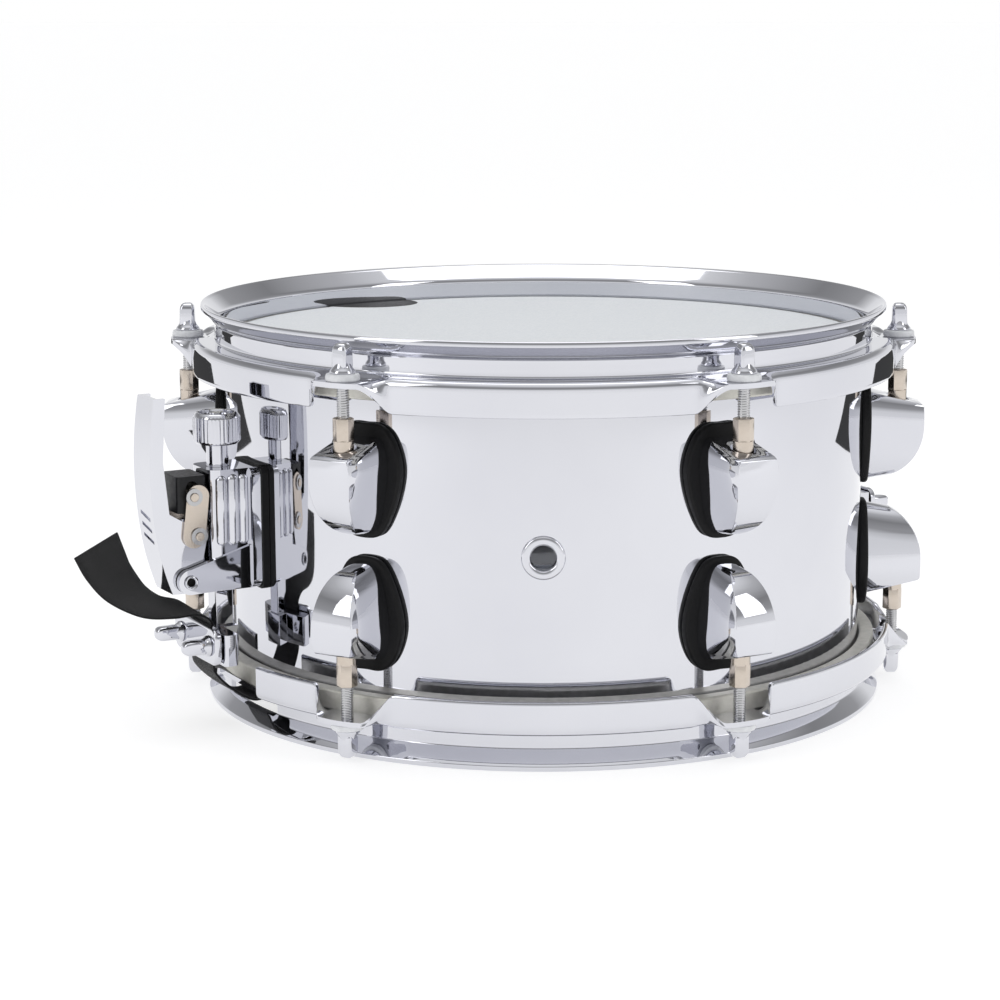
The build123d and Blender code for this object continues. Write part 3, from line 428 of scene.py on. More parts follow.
# %% Roll the shell
wall = 1.2 * MM
edge_top = shell_high.z
edge_low = shell_low.z
rolled_end = [
    (shell_radius - 7.0 * MM, edge_top - 4.5 * MM),
    (shell_radius - 2.5 * MM, edge_top),
    (shell_radius, edge_top),
    (shell_radius, (edge_top + edge_low) / 2),
]
outer_line = bent(rolled_end, [1.0 * MM, 2.0 * MM])
inner_line = [(r - wall, z - wall * 0.4) for r, z in outer_line[:-1]]
inner_line.append((shell_radius - wall, rolled_end[3][1]))
half_outline = inner_line[::-1] + outer_line
lower_half = [(r, edge_top + edge_low - z) for r, z in half_outline[::-1]]
shell_skin = turned("shell_skin", half_outline + lower_half[1:], chrome, steps=256)

# %% Bore the vent
vent_low, vent_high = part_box("vent_grommet")
vent_z = (vent_low.z + vent_high.z) / 2
bpy.ops.mesh.primitive_cylinder_add(vertices=64, radius=7.4 * MM, depth=0.05)
drill = bpy.context.object
put(drill, Matrix.Translation((0, -shell_radius, vent_z)) @ Matrix.Rotation(math.radians(90), 4, "X"))
carve(shell_skin, drill, "DIFFERENCE")
bpy.ops.object.select_all(action="DESELECT")
shell_skin.select_set(True)
bpy.ops.object.shade_smooth_by_angle(angle=math.radians(30))
shell_skin.select_set(False)
stands_for(shell_skin, "shell")
print("shell faces", len(shell_skin.data.polygons))

# %% [markdown]
# ## Hoops
# A pressed hoop is one sheet: a flared lip, an upright wall, a ledge and an apron. Round each
# tension rod the press draws the ledge out into an ear and lifts the apron with it. That flow of
# metal is what the eye knows a hoop by, so the plain ring is spun first, and then its ledge and
# apron are carried out to the ear's shape by a weight that fades along the rim.

# %% Spin the plain ring
sheet = 2.3 * MM
wall_r = shell_radius + 3.8 * MM
lip_r = wall_r + 6.3 * MM
apron_r = wall_r + 10.8 * MM
ledge_z = drum_height - 16.4 * MM
apron_z = drum_height - 31.7 * MM
flare_z = drum_height - 8.5 * MM
outer_corners = [
    (lip_r, drum_height - 0.4 * MM), (lip_r, drum_height - 2.2 * MM), (wall_r, flare_z),
    (wall_r, ledge_z), (apron_r, ledge_z), (apron_r, apron_z + 0.3 * MM),
]
outer_face = bent(outer_corners, [0.8 * MM, 1.5 * MM, 1.2 * MM, 3.5 * MM], 6)
inner_corners = [
    (lip_r + 2.2 * MM - sheet * 1.414, drum_height), (wall_r - sheet, flare_z + sheet * 0.414),
    (wall_r - sheet, ledge_z - sheet), (apron_r - sheet, ledge_z - sheet),
    (apron_r - sheet, apron_z + 0.3 * MM),
]
inner_face = bent(inner_corners, [3.8 * MM, 3.4 * MM, 1.2 * MM], 6)


def divided(line, start, most):
    """The line from index start on, with long straight runs cut into shorter ones."""
    cut = [line[0]]
    for a, b in zip(line, line[1:]):
        span = math.hypot(b[0] - a[0], b[1] - a[1])
        count = max(1, math.ceil(span / most)) if len(cut) >= start else 1
        for i in range(1, count + 1):
            cut.append((a[0] + (b[0] - a[0]) * i / count, a[1] + (b[1] - a[1]) * i / count))
    return cut


outer_face = divided(outer_face, 1, 1.6 * MM)
inner_face = divided(inner_face, 1, 1.6 * MM)
edge_round = [(apron_r - 0.3 * MM, apron_z), (apron_r - sheet + 0.3 * MM, apron_z)]
lip_round = [(lip_r - 0.4 * MM, drum_height), (lip_r, drum_height - 0.4 * MM)]
ring_line = outer_face + edge_round + inner_face[::-1] + lip_round
hoop_skin = turned("batter_hoop_skin", ring_line, chrome, steps=720, angle=50)
print("ring faces", len(hoop_skin.data.polygons))

# %% Draw out the ears
ear_top = washer_low.z
ear_half = 10.5 * MM
ear_foot = 21.5 * MM
ledge_start = wall_r + 1.6 * MM
sheet_run = (apron_r - ledge_start) + (ledge_z - apron_z)
for vertex in hoop_skin.data.vertices:
    x, y, z = vertex.co
    radius = math.hypot(x, y)
    if radius < ledge_start or z > ledge_z + 0.1 * MM:
        continue
    around = math.degrees(math.atan2(x, -y))
    off = (around - lug_angles[0] + 30) % 60 - 30
    across = abs(rod_circle * math.sin(math.radians(off)))
    weight = 1 - min(1, max(0, (across - ear_half) / (ear_foot - ear_half)))
    weight = weight * weight * (3 - 2 * weight)
    if weight == 0:
        continue
    outside = z > ledge_z - sheet * 0.5 or radius > apron_r - sheet * 0.5
    run = min(radius, apron_r) - ledge_start + max(0, ledge_z - z - (0 if outside else sheet))
    share = min(1, max(0, run / sheet_run))
    tip = ear_tip - 5.0 * MM * min(1, across / ear_foot) ** 2
    ear_r = ledge_start + (tip - ledge_start) * min(1, share * 1.35)
    step_down = min(1, max(0, (ear_r - ledge_start - 0.5 * MM) / (3.2 * MM)))
    ear_z = ledge_z - (ledge_z - ear_top) * step_down - (0 if outside else sheet)
    if share > 0.74:
        ear_z -= 0.6 * MM * (share - 0.74) / 0.26 * (1 if outside else -0.2)
    new_r = radius + (ear_r - radius) * weight
    new_z = z + (ear_z - z) * weight
    vertex.co = (x * new_r / radius, y * new_r / radius, new_z)
hoop_skin.data.update()

# %% Turn the ring over for the snare side and cut its gates
lower_hoop = twin(hoop_skin, "snare_side_hoop_skin", flipped(drum_height))
gate_half = 26.0 * MM
for gate_angle in (-60, 120):
    bpy.ops.object.select_all(action="DESELECT")
    bpy.ops.mesh.primitive_cube_add(size=1)
    window = bpy.context.object
    window.dimensions = (2 * gate_half, 16 * MM, 8.6 * MM)
    window.location = (0, -wall_r - 1 * MM, 11.9 * MM)
    bpy.ops.object.transform_apply(location=True, scale=True)
    bpy.ops.mesh.primitive_cube_add(size=1)
    notch = bpy.context.object
    notch.dimensions = (2 * gate_half + 2 * MM, 12 * MM, 22 * MM)
    notch.location = (0, -wall_r - 3.4 * MM - 6 * MM, 14.2 * MM + 11 * MM)
    bpy.ops.object.transform_apply(location=True, scale=True)
    for cutter in (window, notch):
        put(cutter, about_drum(gate_angle))
        round_off = cutter.modifiers.new("round", "BEVEL")
        round_off.width = 1.5 * MM
        round_off.segments = 4
        carve(lower_hoop, cutter, "DIFFERENCE")
bpy.ops.object.select_all(action="DESELECT")
for hoop in (hoop_skin, lower_hoop):
    hoop.select_set(True)
bpy.context.view_layer.objects.active = lower_hoop
bpy.ops.object.shade_smooth_by_angle(angle=math.radians(50))
bpy.ops.object.select_all(action="DESELECT")
stands_for(hoop_skin, "batter_hoop")
stands_for(lower_hoop, "snare_side_hoop")

# %% [markdown]
# ## Tension rods
# A rod is a machine screw with a square key head. The head rises from a flared round seat and
# ends in a low dome. The thread is a true helix: one tooth of the outline is carried round and
# up by a Screw modifier, as many turns as the thread is long.

# %% Thread a rod
pitch = 1.06 * MM
thread_r = 2.75 * MM


def threaded(name, centre, low, high, radius, step, depth):
    """A threaded stem between two heights, made by screwing one tooth upward."""
    turns = max(2, int((high - low) / step))
    x, y = centre
    tooth = [(x + radius - depth, y, low), (x + radius, y, low + step * 0.42)]
    tooth += [(x + radius, y, low + step * 0.56), (x + radius - depth, y, low + step)]
    piece = draw_line(name, tooth)
    bpy.ops.object.mode_set(mode="OBJECT")
    bpy.ops.object.select_all(action="DESELECT")
    put(piece, Matrix.Translation((-x, -y, 0)))
    wind = piece.modifiers.new("thread", "SCREW")
    wind.axis = "Z"
    wind.angle = math.tau
    wind.screw_offset = step
    wind.iterations = turns
    wind.steps = 18
    wind.render_steps = 18
    wind.use_merge_vertices = True
    wind.merge_threshold = 0.000002
    bpy.context.view_layer.objects.active = piece
    bpy.ops.object.modifier_apply(modifier="thread")
    put(piece, Matrix.Translation((x, y, 0)))
    return piece


def key_head(name, centre, low, tall, side, paint):
    """A square key head that flares to its seat and is domed on top."""
    bpy.ops.object.select_all(action="DESELECT")
    bpy.ops.mesh.primitive_cube_add(size=1, location=(centre[0], centre[1], low + tall / 2))
    piece = bpy.context.object
    piece.name = name
    piece.scale = (side, side, tall)
    bpy.ops.object.transform_apply(location=True, scale=True)
    bpy.ops.object.mode_set(mode="EDIT")
    bpy.ops.mesh.select_all(action="DESELECT")
    shape = bmesh.from_edit_mesh(piece.data)
    for face in shape.faces:
        face.select_set(face.normal.z > 0.9)
    bmesh.update_edit_mesh(piece.data)
    bpy.ops.transform.resize(value=(0.96, 0.96, 1), center_override=(centre[0], centre[1], low + tall))
    for rise, shrink in ((1.3 * MM, 0.93), (1.0 * MM, 0.84), (0.6 * MM, 0.7), (0.2 * MM, 0.6)):
        bpy.ops.mesh.extrude_region_move(TRANSFORM_OT_translate={"value": (0, 0, rise)})
        top = (centre[0], centre[1], low + tall)
        bpy.ops.transform.resize(value=(shrink, shrink, 1), center_override=top)
    bpy.ops.object.mode_set(mode="OBJECT")
    soften = piece.modifiers.new("soften", "BEVEL")
    soften.width = 1.3 * MM
    soften.segments = 4
    soften.limit_method = "ANGLE"
    soften.angle_limit = math.radians(50)
    bpy.ops.object.modifier_apply(modifier="soften")
    bpy.ops.object.mode_set(mode="EDIT")
    return settle(piece, paint, 40)


rod_top = rod_high.z
flange_low = washer_high.z + 0.05 * MM
flange_line = [
    (0.0, flange_low), (5.4 * MM, flange_low), (5.6 * MM, flange_low + 0.3 * MM),
    (5.5 * MM, flange_low + 1.0 * MM),
    (4.9 * MM, flange_low + 1.7 * MM), (4.2 * MM, flange_low + 2.6 * MM), (3.5 * MM, flange_low + 4.4 * MM),
    (3.1 * MM, flange_low + 5.2 * MM), (0.0, flange_low + 5.2 * MM),
]
spot = (0.0, -rod_circle)
seat = turned("rod_seat", flange_line, chrome, spot, 48, 40)
head = key_head("rod_head", spot, flange_low + 2.0 * MM, rod_top - flange_low - 5.1 * MM, 7.2 * MM, chrome)
stem = threaded("rod_stem", spot, rod_low.z, flange_low, thread_r, pitch, 0.42 * MM)
bpy.context.view_layer.objects.active = stem
bpy.ops.object.mode_set(mode="EDIT")
settle(stem, dull_nickel, 30)
rod_pattern = joined("rod_pattern", [stem, head, seat])
print("rod faces", len(rod_pattern.data.polygons), "materials", [m.name for m in rod_pattern.data.materials])

# %% Set the twelve rods
for number, angle in enumerate(lug_angles, 1):
    upper = twin(rod_pattern, f"upper_rod_{number}", about_drum(angle))
    stands_for(upper, f"upper_tension_rod_{number}")
    lower = twin(rod_pattern, f"lower_rod_{number}", about_drum(angle) @ flipped(drum_height))
    stands_for(lower, f"lower_tension_rod_{number}")
bpy.data.objects.remove(rod_pattern)

# %% [markdown]
# ## Washers, nuts and the vent
# Each rod bears on a white nylon washer and screws into a hexagonal swivel nut. Both stand six
# times round each hoop, so one is made and carried round. The vent is a turned eyelet pressed
# through the shell.

# %% A ring of six
def ring_of_six(pattern, name, node, over=None):
    """Six copies of a pattern round the drum, joined into one piece that stands for a node."""
    matrix = over or Matrix()
    copies = [twin(pattern, f"{name}_{n}", about_drum(a) @ matrix) for n, a in enumerate(lug_angles)]
    return stands_for(joined(name, copies), node)


# %% Turn the washers
washer_r = 7.4 * MM
washer_line = [
    (thread_r + 0.2 * MM, washer_low.z), (washer_r - 0.5 * MM, washer_low.z),
    (washer_r, washer_low.z + 0.5 * MM),
    (washer_r, washer_high.z - 1.2 * MM), (washer_r - 0.35 * MM, washer_high.z - 0.35 * MM),
    (washer_r - 1.3 * MM, washer_high.z), (thread_r + 0.2 * MM, washer_high.z),
    (thread_r + 0.2 * MM, washer_low.z),
]
washer = turned("washer", washer_line, white_nylon, spot, 48, 40)
ring_of_six(washer, "upper_washers", "upper_rod_washers")
ring_of_six(washer, "lower_washers", "lower_rod_washers", flipped(drum_height))
bpy.data.objects.remove(washer)

# %% Make the hexagonal nuts
nut_low, nut_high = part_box("upper_swivel_nuts")
nut_flats = 8.0 * MM
nut_hex = 10.0 * MM
bpy.ops.object.select_all(action="DESELECT")
bpy.ops.mesh.primitive_cylinder_add(vertices=6, radius=nut_flats / 2 / math.cos(math.pi / 6), depth=nut_hex)
nut = bpy.context.object
nut.name = "nut"
bpy.ops.object.mode_set(mode="EDIT")
bpy.ops.mesh.select_all(action="DESELECT")
shape = bmesh.from_edit_mesh(nut.data)
for face in shape.faces:
    face.select_set(face.normal.z > 0.9)
bmesh.update_edit_mesh(nut.data)
bpy.ops.mesh.inset(thickness=0.7 * MM)
bpy.ops.transform.translate(value=(0, 0, 0.35 * MM))
bpy.ops.object.mode_set(mode="OBJECT")
put(nut, Matrix.Translation((0, -rod_circle, nut_high.z - nut_hex / 2 - 0.35 * MM)))
soften = nut.modifiers.new("soften", "BEVEL")
soften.width = 0.25 * MM
soften.segments = 2
bpy.ops.object.modifier_apply(modifier="soften")
bpy.ops.object.mode_set(mode="EDIT")
settle(nut, warm_nickel, 30)
barrel_r = 4.4 * MM
barrel_top = nut_high.z - nut_hex
barrel_line = [(0, nut_low.z), (barrel_r, nut_low.z), (barrel_r, barrel_top), (0, barrel_top)]
barrel = turned("barrel", barrel_line, warm_nickel, spot, 32)
nut = joined("nut", [nut, barrel])
ring_of_six(nut, "upper_nuts", "upper_swivel_nuts")
ring_of_six(nut, "lower_nuts", "lower_swivel_nuts", flipped(drum_height))
bpy.data.objects.remove(nut)

# %% Turn the vent eyelet
vent_r = 5.5 * MM
flange_r = 9.6 * MM
seat_r = shell_radius + 0.05 * MM
vent_face = -vent_low.y
eyelet_line = [
    (vent_r, seat_r - 2.8 * MM), (vent_r + 1.6 * MM, seat_r - 2.8 * MM),
    (vent_r + 1.8 * MM, seat_r - 0.02 * MM), (flange_r - 0.3 * MM, seat_r), (flange_r, seat_r + 0.3 * MM),
    (flange_r - 0.2 * MM, seat_r + 0.8 * MM), (flange_r - 1.0 * MM, vent_face - 0.1 * MM),
    (flange_r - 2.0 * MM, vent_face), (vent_r + 1.2 * MM, vent_face - 0.1 * MM),
    (vent_r + 0.4 * MM, vent_face - 0.5 * MM), (vent_r, vent_face - 1.3 * MM), (vent_r, seat_r - 2.8 * MM),
]
eyelet = turned("vent_eyelet", eyelet_line, chrome, steps=64, angle=60)
put(eyelet, Matrix.Translation((0, 0, vent_z)) @ Matrix.Rotation(math.radians(90), 4, "X"))
stands_for(eyelet, "vent_grommet")

# %% [markdown]
# ## Lugs
# A lug is a die-cast shield on a black rubber pad. Both are outlines pushed out from the shell: the
# pad bulges past the casting all round, and the casting narrows towards its front, slopes at
# the top and rounds under at the bottom. The casting is the outline and its side view, cut with
# each other by a Boolean, and its edges are then bevelled so they catch a thin light.

# %% An outline pushed out
def between(before, a, b, after, t):
    """The point at share t from a to b on a smooth curve through four points."""
    return 0.5 * (2 * a + (b - before) * t + (2 * before - 5 * a + 4 * b - after) * t * t
                  + (3 * a - before - 3 * b + after) * t * t * t)


def smooth_loop(points, pieces=6):
    """A closed smooth line through points, each stretch cut into pieces."""
    loop = []
    count = len(points)
    for i in range(count):
        before, a, b, after = (Vector(points[(i + k) % count]) for k in (-1, 0, 1, 2))
        for step in range(pieces):
            loop.append(between(before, a, b, after, step / pieces))
    return loop


def both_sides(half):
    """A half outline of (across, height) points, from top to bottom, with its mirror image."""
    return half + [(-x, z) for x, z in half[::-1] if x > 0.00001]


def slab(name, loop, near, far, shrink=1.0, centre=0.0):
    """A closed outline of (across, height) points, from the near to the far distance on the -Y side."""
    bpy.ops.object.select_all(action="DESELECT")
    bpy.ops.mesh.primitive_circle_add(vertices=len(loop), radius=0.01, fill_type="NGON")
    piece = bpy.context.object
    piece.name = name
    for vertex, (x, z) in zip(piece.data.vertices, loop):
        vertex.co = (x, -near, z)
    bpy.ops.object.mode_set(mode="EDIT")
    bpy.ops.mesh.select_all(action="SELECT")
    bpy.ops.mesh.extrude_region_move(TRANSFORM_OT_translate={"value": (0, near - far, 0)})
    bpy.ops.transform.resize(value=(shrink, 1, shrink), center_override=(0, -far, centre))
    bpy.ops.mesh.select_all(action="SELECT")
    bpy.ops.mesh.normals_make_consistent(inside=False)
    bpy.ops.object.mode_set(mode="OBJECT")
    return piece


def side_slab(name, loop, half):
    """A closed outline of (distance, height) points, pushed out to both sides."""
    turned_side = Matrix.Rotation(math.radians(-90), 4, "Z")
    piece = slab(name, loop, -half, half)
    put(piece, turned_side)
    return piece


def edged(piece, width, paint, segments=3, limit=30.0, level_flats=True):
    """Bevel a piece's sharp edges, keep its flats flat, and paint it."""
    bpy.ops.object.select_all(action="DESELECT")
    piece.select_set(True)
    bpy.context.view_layer.objects.active = piece
    round_off = piece.modifiers.new("edges", "BEVEL")
    round_off.width = width
    round_off.segments = segments
    round_off.limit_method = "ANGLE"
    round_off.angle_limit = math.radians(limit)
    bpy.ops.object.modifier_apply(modifier="edges")
    bpy.ops.object.shade_smooth_by_angle(angle=math.radians(40))
    if level_flats:
        level = piece.modifiers.new("flats", "WEIGHTED_NORMAL")
        level.keep_sharp = True
        bpy.ops.object.modifier_apply(modifier="flats")
    piece.data.materials.clear()
    piece.data.materials.append(paint)
    piece.select_set(False)
    return piece


# %% Mould the rubber pad
pad_low, pad_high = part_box("upper_lug_gaskets")
lug_seat = shell_radius + 3.6 * MM
pad_top, pad_bottom = pad_high.z, pad_low.z
pad_half = [
    (0.0, pad_top), (8.0 * MM, pad_top - 0.3 * MM), (14.0 * MM, pad_top - 5.0 * MM),
    (18.0 * MM, pad_top - 15.0 * MM), (18.2 * MM, pad_top - 25.0 * MM),
    (14.5 * MM, pad_top - 38.0 * MM), (8.5 * MM, pad_bottom + 2.2 * MM),
    (0.0, pad_bottom),
]
pad_loop = smooth_loop(both_sides(pad_half))
pad = slab("pad", pad_loop, shell_radius - 2 * MM, lug_seat)
for vertex in pad.data.vertices:
    if vertex.co.y > -shell_radius:
        vertex.co.y = -math.sqrt((shell_radius + 0.05 * MM) ** 2 - vertex.co.x**2)
edged(pad, 1.3 * MM, black_rubber, 4, 50)
ring_of_six(pad, "upper_pads", "upper_lug_gaskets")
ring_of_six(pad, "lower_pads", "lower_lug_gaskets", flipped(drum_height))
bpy.data.objects.remove(pad)

# %% Cast the lug casing
case_low, case_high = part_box("upper_lug_casings")
case_top, case_bottom = case_high.z, case_low.z
case_depth = 26.0 * MM
case_half = [
    (0.0, case_top + 2 * MM), (6.5 * MM, case_top + 1.6 * MM), (11.0 * MM, case_top - 2.0 * MM),
    (13.0 * MM, case_top - 9.0 * MM), (13.1 * MM, case_top - 16.0 * MM), (12.0 * MM, case_top - 25.0 * MM),
    (9.8 * MM, case_top - 35.0 * MM), (6.0 * MM, case_bottom + 1.5 * MM), (0.0, case_bottom),
]
front = lug_seat + case_depth
casing = slab("casing", smooth_loop(both_sides(case_half), 4), lug_seat, front, 0.80, case_top - 22 * MM)
belly = case_bottom + case_depth
rim = lug_seat + 1.5 * MM
side_view = [(lug_seat - 1 * MM, case_bottom), (rim, case_bottom)]
for i in range(1, 41):
    turn = math.radians(90 * i / 40)
    side_view.append((rim + (front - rim) * math.sin(turn), belly - case_depth * math.cos(turn)))
side_view += [(front, case_top - 7.0 * MM), (front - 1.0 * MM, case_top - 6.0 * MM), (lug_seat, case_top)]
side_view += [(lug_seat - 1 * MM, case_top)]
carve(casing, side_slab("casing_side", side_view, 20 * MM), "INTERSECT")
bpy.ops.object.select_all(action="DESELECT")
bpy.ops.mesh.primitive_cylinder_add(
    vertices=32, radius=5.6 * MM, depth=30 * MM, location=(0, -rod_circle, case_top))
bore_tool = bpy.context.object
bpy.ops.object.transform_apply(location=True)
carve(casing, bore_tool, "DIFFERENCE")
edged(casing, 0.6 * MM, chrome, 3, 32, level_flats=False)
ring_of_six(casing, "upper_casings", "upper_lug_casings")
ring_of_six(casing, "lower_casings", "lower_lug_casings", flipped(drum_height))
print("casing faces", len(casing.data.polygons))
bpy.data.objects.remove(casing)

# %% [markdown]
# ## Castings and sheet pieces
# The throw-off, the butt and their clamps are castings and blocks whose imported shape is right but
# whose edges are razor sharp. Real castings have a small radius everywhere, and that radius is what
# glints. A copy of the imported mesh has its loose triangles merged, its flat areas dissolved, and
# its edges bevelled. Three raised ribs stand on each side of the throw-off's tower, the lever turns
# on a hollow pin, and three slots are cut through the lever.

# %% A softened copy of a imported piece
def softened(node, paint, width):
    """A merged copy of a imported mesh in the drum's frame, before its edges are bevelled."""
    piece = nodes[node].copy()
    piece.data = nodes[node].data.copy()
    piece.name = f"{node}_soft"
    bpy.context.scene.collection.objects.link(piece)
    bpy.ops.object.select_all(action="DESELECT")
    piece.select_set(True)
    bpy.context.view_layer.objects.active = piece
    bpy.ops.object.mode_set(mode="EDIT")
    bpy.ops.mesh.select_all(action="SELECT")
    bpy.ops.mesh.remove_doubles(threshold=0.00002)
    bpy.ops.mesh.dissolve_limited(angle_limit=math.radians(1.0))
    bpy.ops.object.mode_set(mode="OBJECT")
    if width:
        edged(piece, width, paint, 2, 32.0)
    return piece


for node, paint, width in (
    ("throw_off_body", chrome, 0.5 * MM), ("link_plates", warm_nickel, 0.2 * MM),
    ("link_pins", warm_nickel, 0.3 * MM), ("slider_block", black_nylon, 0.4 * MM),
    ("slide_post", chrome, 0.4 * MM), ("butt_body", chrome, 0.5 * MM),
    ("throw_off_clamp_block", chrome, 0.5 * MM), ("throw_off_clamp_plate", chrome, 0.3 * MM),
    ("butt_clamp_plate", chrome, 0.3 * MM),
    ("throw_off_gasket", black_rubber, 0.4 * MM), ("butt_gasket", black_rubber, 0.4 * MM),
):
    stands_for(softened(node, paint, width), node)

# %% Flute the tower's sides
throw_off = about_drum(-60)
flute_stretch = 13.5 * MM
flute_offset = 11.3 * MM
flute_height = 101.5 * MM
flutes = []
for side in (-1, 1):
    for reach, radius in ((162.5, 2.6), (167.6, 2.9), (173.0, 2.6)):
        bpy.ops.object.select_all(action="DESELECT")
        bpy.ops.mesh.primitive_uv_sphere_add(segments=24, ring_count=16, radius=radius * MM)
        flute = bpy.context.object
        flute.name = f"flute_{side}_{reach:.0f}"
        for vertex in flute.data.vertices:
            if abs(vertex.co.z) > 0.00001:
                vertex.co.z += math.copysign(flute_stretch, vertex.co.z)
        bpy.ops.object.shade_smooth()
        flute.data.materials.append(chrome)
        place = Matrix.Translation((side * flute_offset, -reach * MM, flute_height))
        flutes.append(put(flute, throw_off @ place))
tower_flutes = joined("tower_flutes", flutes)
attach(tower_flutes, "drum")

# %% Turn the hollow pivot pin
pivot_reach = 189.0 * MM
pivot_height = 70.7 * MM
pin_half = 14.5 * MM
pin_line = [
    (0.0, pin_half - 3.0 * MM), (2.3 * MM, pin_half - 3.0 * MM), (2.3 * MM, pin_half - 0.3 * MM),
    (2.6 * MM, pin_half), (3.0 * MM, pin_half - 0.1 * MM), (3.2 * MM, pin_half - 0.5 * MM),
    (3.2 * MM, pin_half - 1.0 * MM),
    (2.0 * MM, pin_half - 1.0 * MM), (2.0 * MM, 0.0),
]
pin_line += [(r, -z) for r, z in pin_line[-2::-1]]
pivot_pin = turned("pivot_pin", pin_line, chrome, steps=40, angle=40)
# The floor of the bore at each end gets the black rubber finish as painted shade: a dark disc that stands
# for the shade deep inside the hollow pin.
pivot_pin.data.materials.append(black_rubber)
for face in pivot_pin.data.polygons:
    middle = face.center
    if abs(middle.z) > pin_half - 3.1 * MM and math.hypot(middle.x, middle.y) < 2.29 * MM:
        face.material_index = 1
sideways = Matrix.Rotation(math.radians(90), 4, "Y")
put(pivot_pin, throw_off @ Matrix.Translation((0, -pivot_reach, pivot_height)) @ sideways)
stands_for(pivot_pin, "lever_pivot_pin")

# %% Slot the lever
lever = softened("throw_off_lever", chrome, 0)
put(lever, throw_off.inverted())
for drop in range(3):
    bpy.ops.object.select_all(action="DESELECT")
    bpy.ops.mesh.primitive_cube_add(size=1, location=(0, 0, 0))
    slot = bpy.context.object
    slot.scale = (11 * MM, 3 * MM, 1.7 * MM)
    bpy.ops.object.transform_apply(scale=True)
    spot_of_slot = Matrix.Translation((0, -(202.6 + 0.9 * drop) * MM, (90 + 5.2 * drop) * MM))
    put(slot, spot_of_slot @ Matrix.Rotation(math.radians(14), 4, "Y"))
    carve(lever, slot, "DIFFERENCE")
edged(lever, 0.55 * MM, chrome, 3, 35)
put(lever, throw_off)
stands_for(lever, "throw_off_lever")

# %% Knurl the tension knob
knob_low, knob_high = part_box("tension_knob")
knob_mid = (knob_low + knob_high) / 2
knob_r = (knob_high.x - knob_low.x) / 2
knob_line = [
    (5.2 * MM, 0.0), (knob_r - 1.3 * MM, 0.0), (knob_r - 0.2 * MM, 1.2 * MM), (knob_r, 1.6 * MM),
    (knob_r, 11.6 * MM), (knob_r - 0.2 * MM, 12.1 * MM), (knob_r - 1.4 * MM, 13.8 * MM),
    (knob_r - 2.0 * MM, 14.1 * MM), (knob_r - 2.9 * MM, 13.9 * MM), (knob_r - 3.1 * MM, 12.5 * MM),
    (3.6 * MM, 12.5 * MM), (3.2 * MM, 13.9 * MM),
    (0.0, 14.1 * MM),
]
knob = turned("knob", knob_line, chrome, steps=120, angle=40)
for vertex in knob.data.vertices:
    x, y, z = vertex.co
    r = math.hypot(x, y)
    ridge = round(math.degrees(math.atan2(y, x)) / 3) % 3
    if r > knob_r - 0.1 * MM and ridge == 0:
        vertex.co = (x * (1 - 0.5 * MM / r), y * (1 - 0.5 * MM / r), z)
put(knob, Matrix.Translation((knob_mid.x, knob_mid.y, knob_low.z)))
stands_for(knob, "tension_knob")

# %% Turn the tension screw
screw_low, screw_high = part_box("tension_screw")
shaft_low = 99.0 * MM
shaft_r = 5.0 * MM
collar_r = 6.5 * MM
centre = (knob_mid.x, knob_mid.y)
shaft_line = [
    (0, shaft_low), (4.7 * MM, shaft_low), (shaft_r, shaft_low + 0.3 * MM),
    (shaft_r, 99.6 * MM), (collar_r, 99.6 * MM), (collar_r, 101.3 * MM), (shaft_r, 101.3 * MM),
    (shaft_r, 113.2 * MM), (collar_r, 113.2 * MM), (collar_r, 114.9 * MM), (shaft_r, 114.9 * MM),
    (shaft_r, screw_high.z), (0, screw_high.z),
]
shaft = turned("tension_shaft", shaft_line, chrome, centre, 40)
core = threaded("tension_thread", centre, screw_low.z, shaft_low, 3.0 * MM, 1.0 * MM, 0.4 * MM)
bpy.context.view_layer.objects.active = core
bpy.ops.object.mode_set(mode="EDIT")
settle(core, dull_nickel, 30)
stands_for(joined("tension_stem", [shaft, core]), "tension_screw")

# %% Fit the clamp screws
clamp_front = 182.8 * MM
head_line = [
    (0.0, 0.0), (4.6 * MM, 0.0), (4.8 * MM, 0.3 * MM), (4.7 * MM, 0.9 * MM), (4.1 * MM, 1.5 * MM),
    (3.5 * MM, 2.6 * MM), (3.2 * MM, 3.6 * MM), (0.0, 3.6 * MM),
]
clamp_seat = turned("clamp_seat", head_line, chrome, steps=40, angle=40)
clamp_key = key_head("clamp_key", (0.0, 0.0), 1.5 * MM, 8.0 * MM, 6.6 * MM, chrome)
clamp_shank_line = [(0.0, -10 * MM), (2.0 * MM, -10 * MM), (2.0 * MM, 0.1 * MM), (0.0, 0.1 * MM)]
clamp_shank = turned("clamp_shank", clamp_shank_line, chrome, steps=24)
clamp_pattern = joined("clamp_pattern", [clamp_seat, clamp_key, clamp_shank])
outward = Matrix.Rotation(math.radians(90), 4, "X")
for node, angle, height in (
    ("throw_off_clamp_screws", -60, 41.5 * MM), ("butt_clamp_screws", 120, 71.6 * MM),
):
    pair = []
    for side in (-1, 1):
        place = about_drum(angle) @ Matrix.Translation((side * 16 * MM, -clamp_front, height)) @ outward
        pair.append(twin(clamp_pattern, f"{node}_{side}", place))
    stands_for(joined(f"{node}_soft", pair), node)
bpy.data.objects.remove(clamp_pattern)

# %% [markdown]
# ## Snares
# Under the lower head lie twenty strands of steel wire, each wound as a fine open coil and soldered
# to a plate at each end. A coil is one small triangle carried along by a Screw modifier.

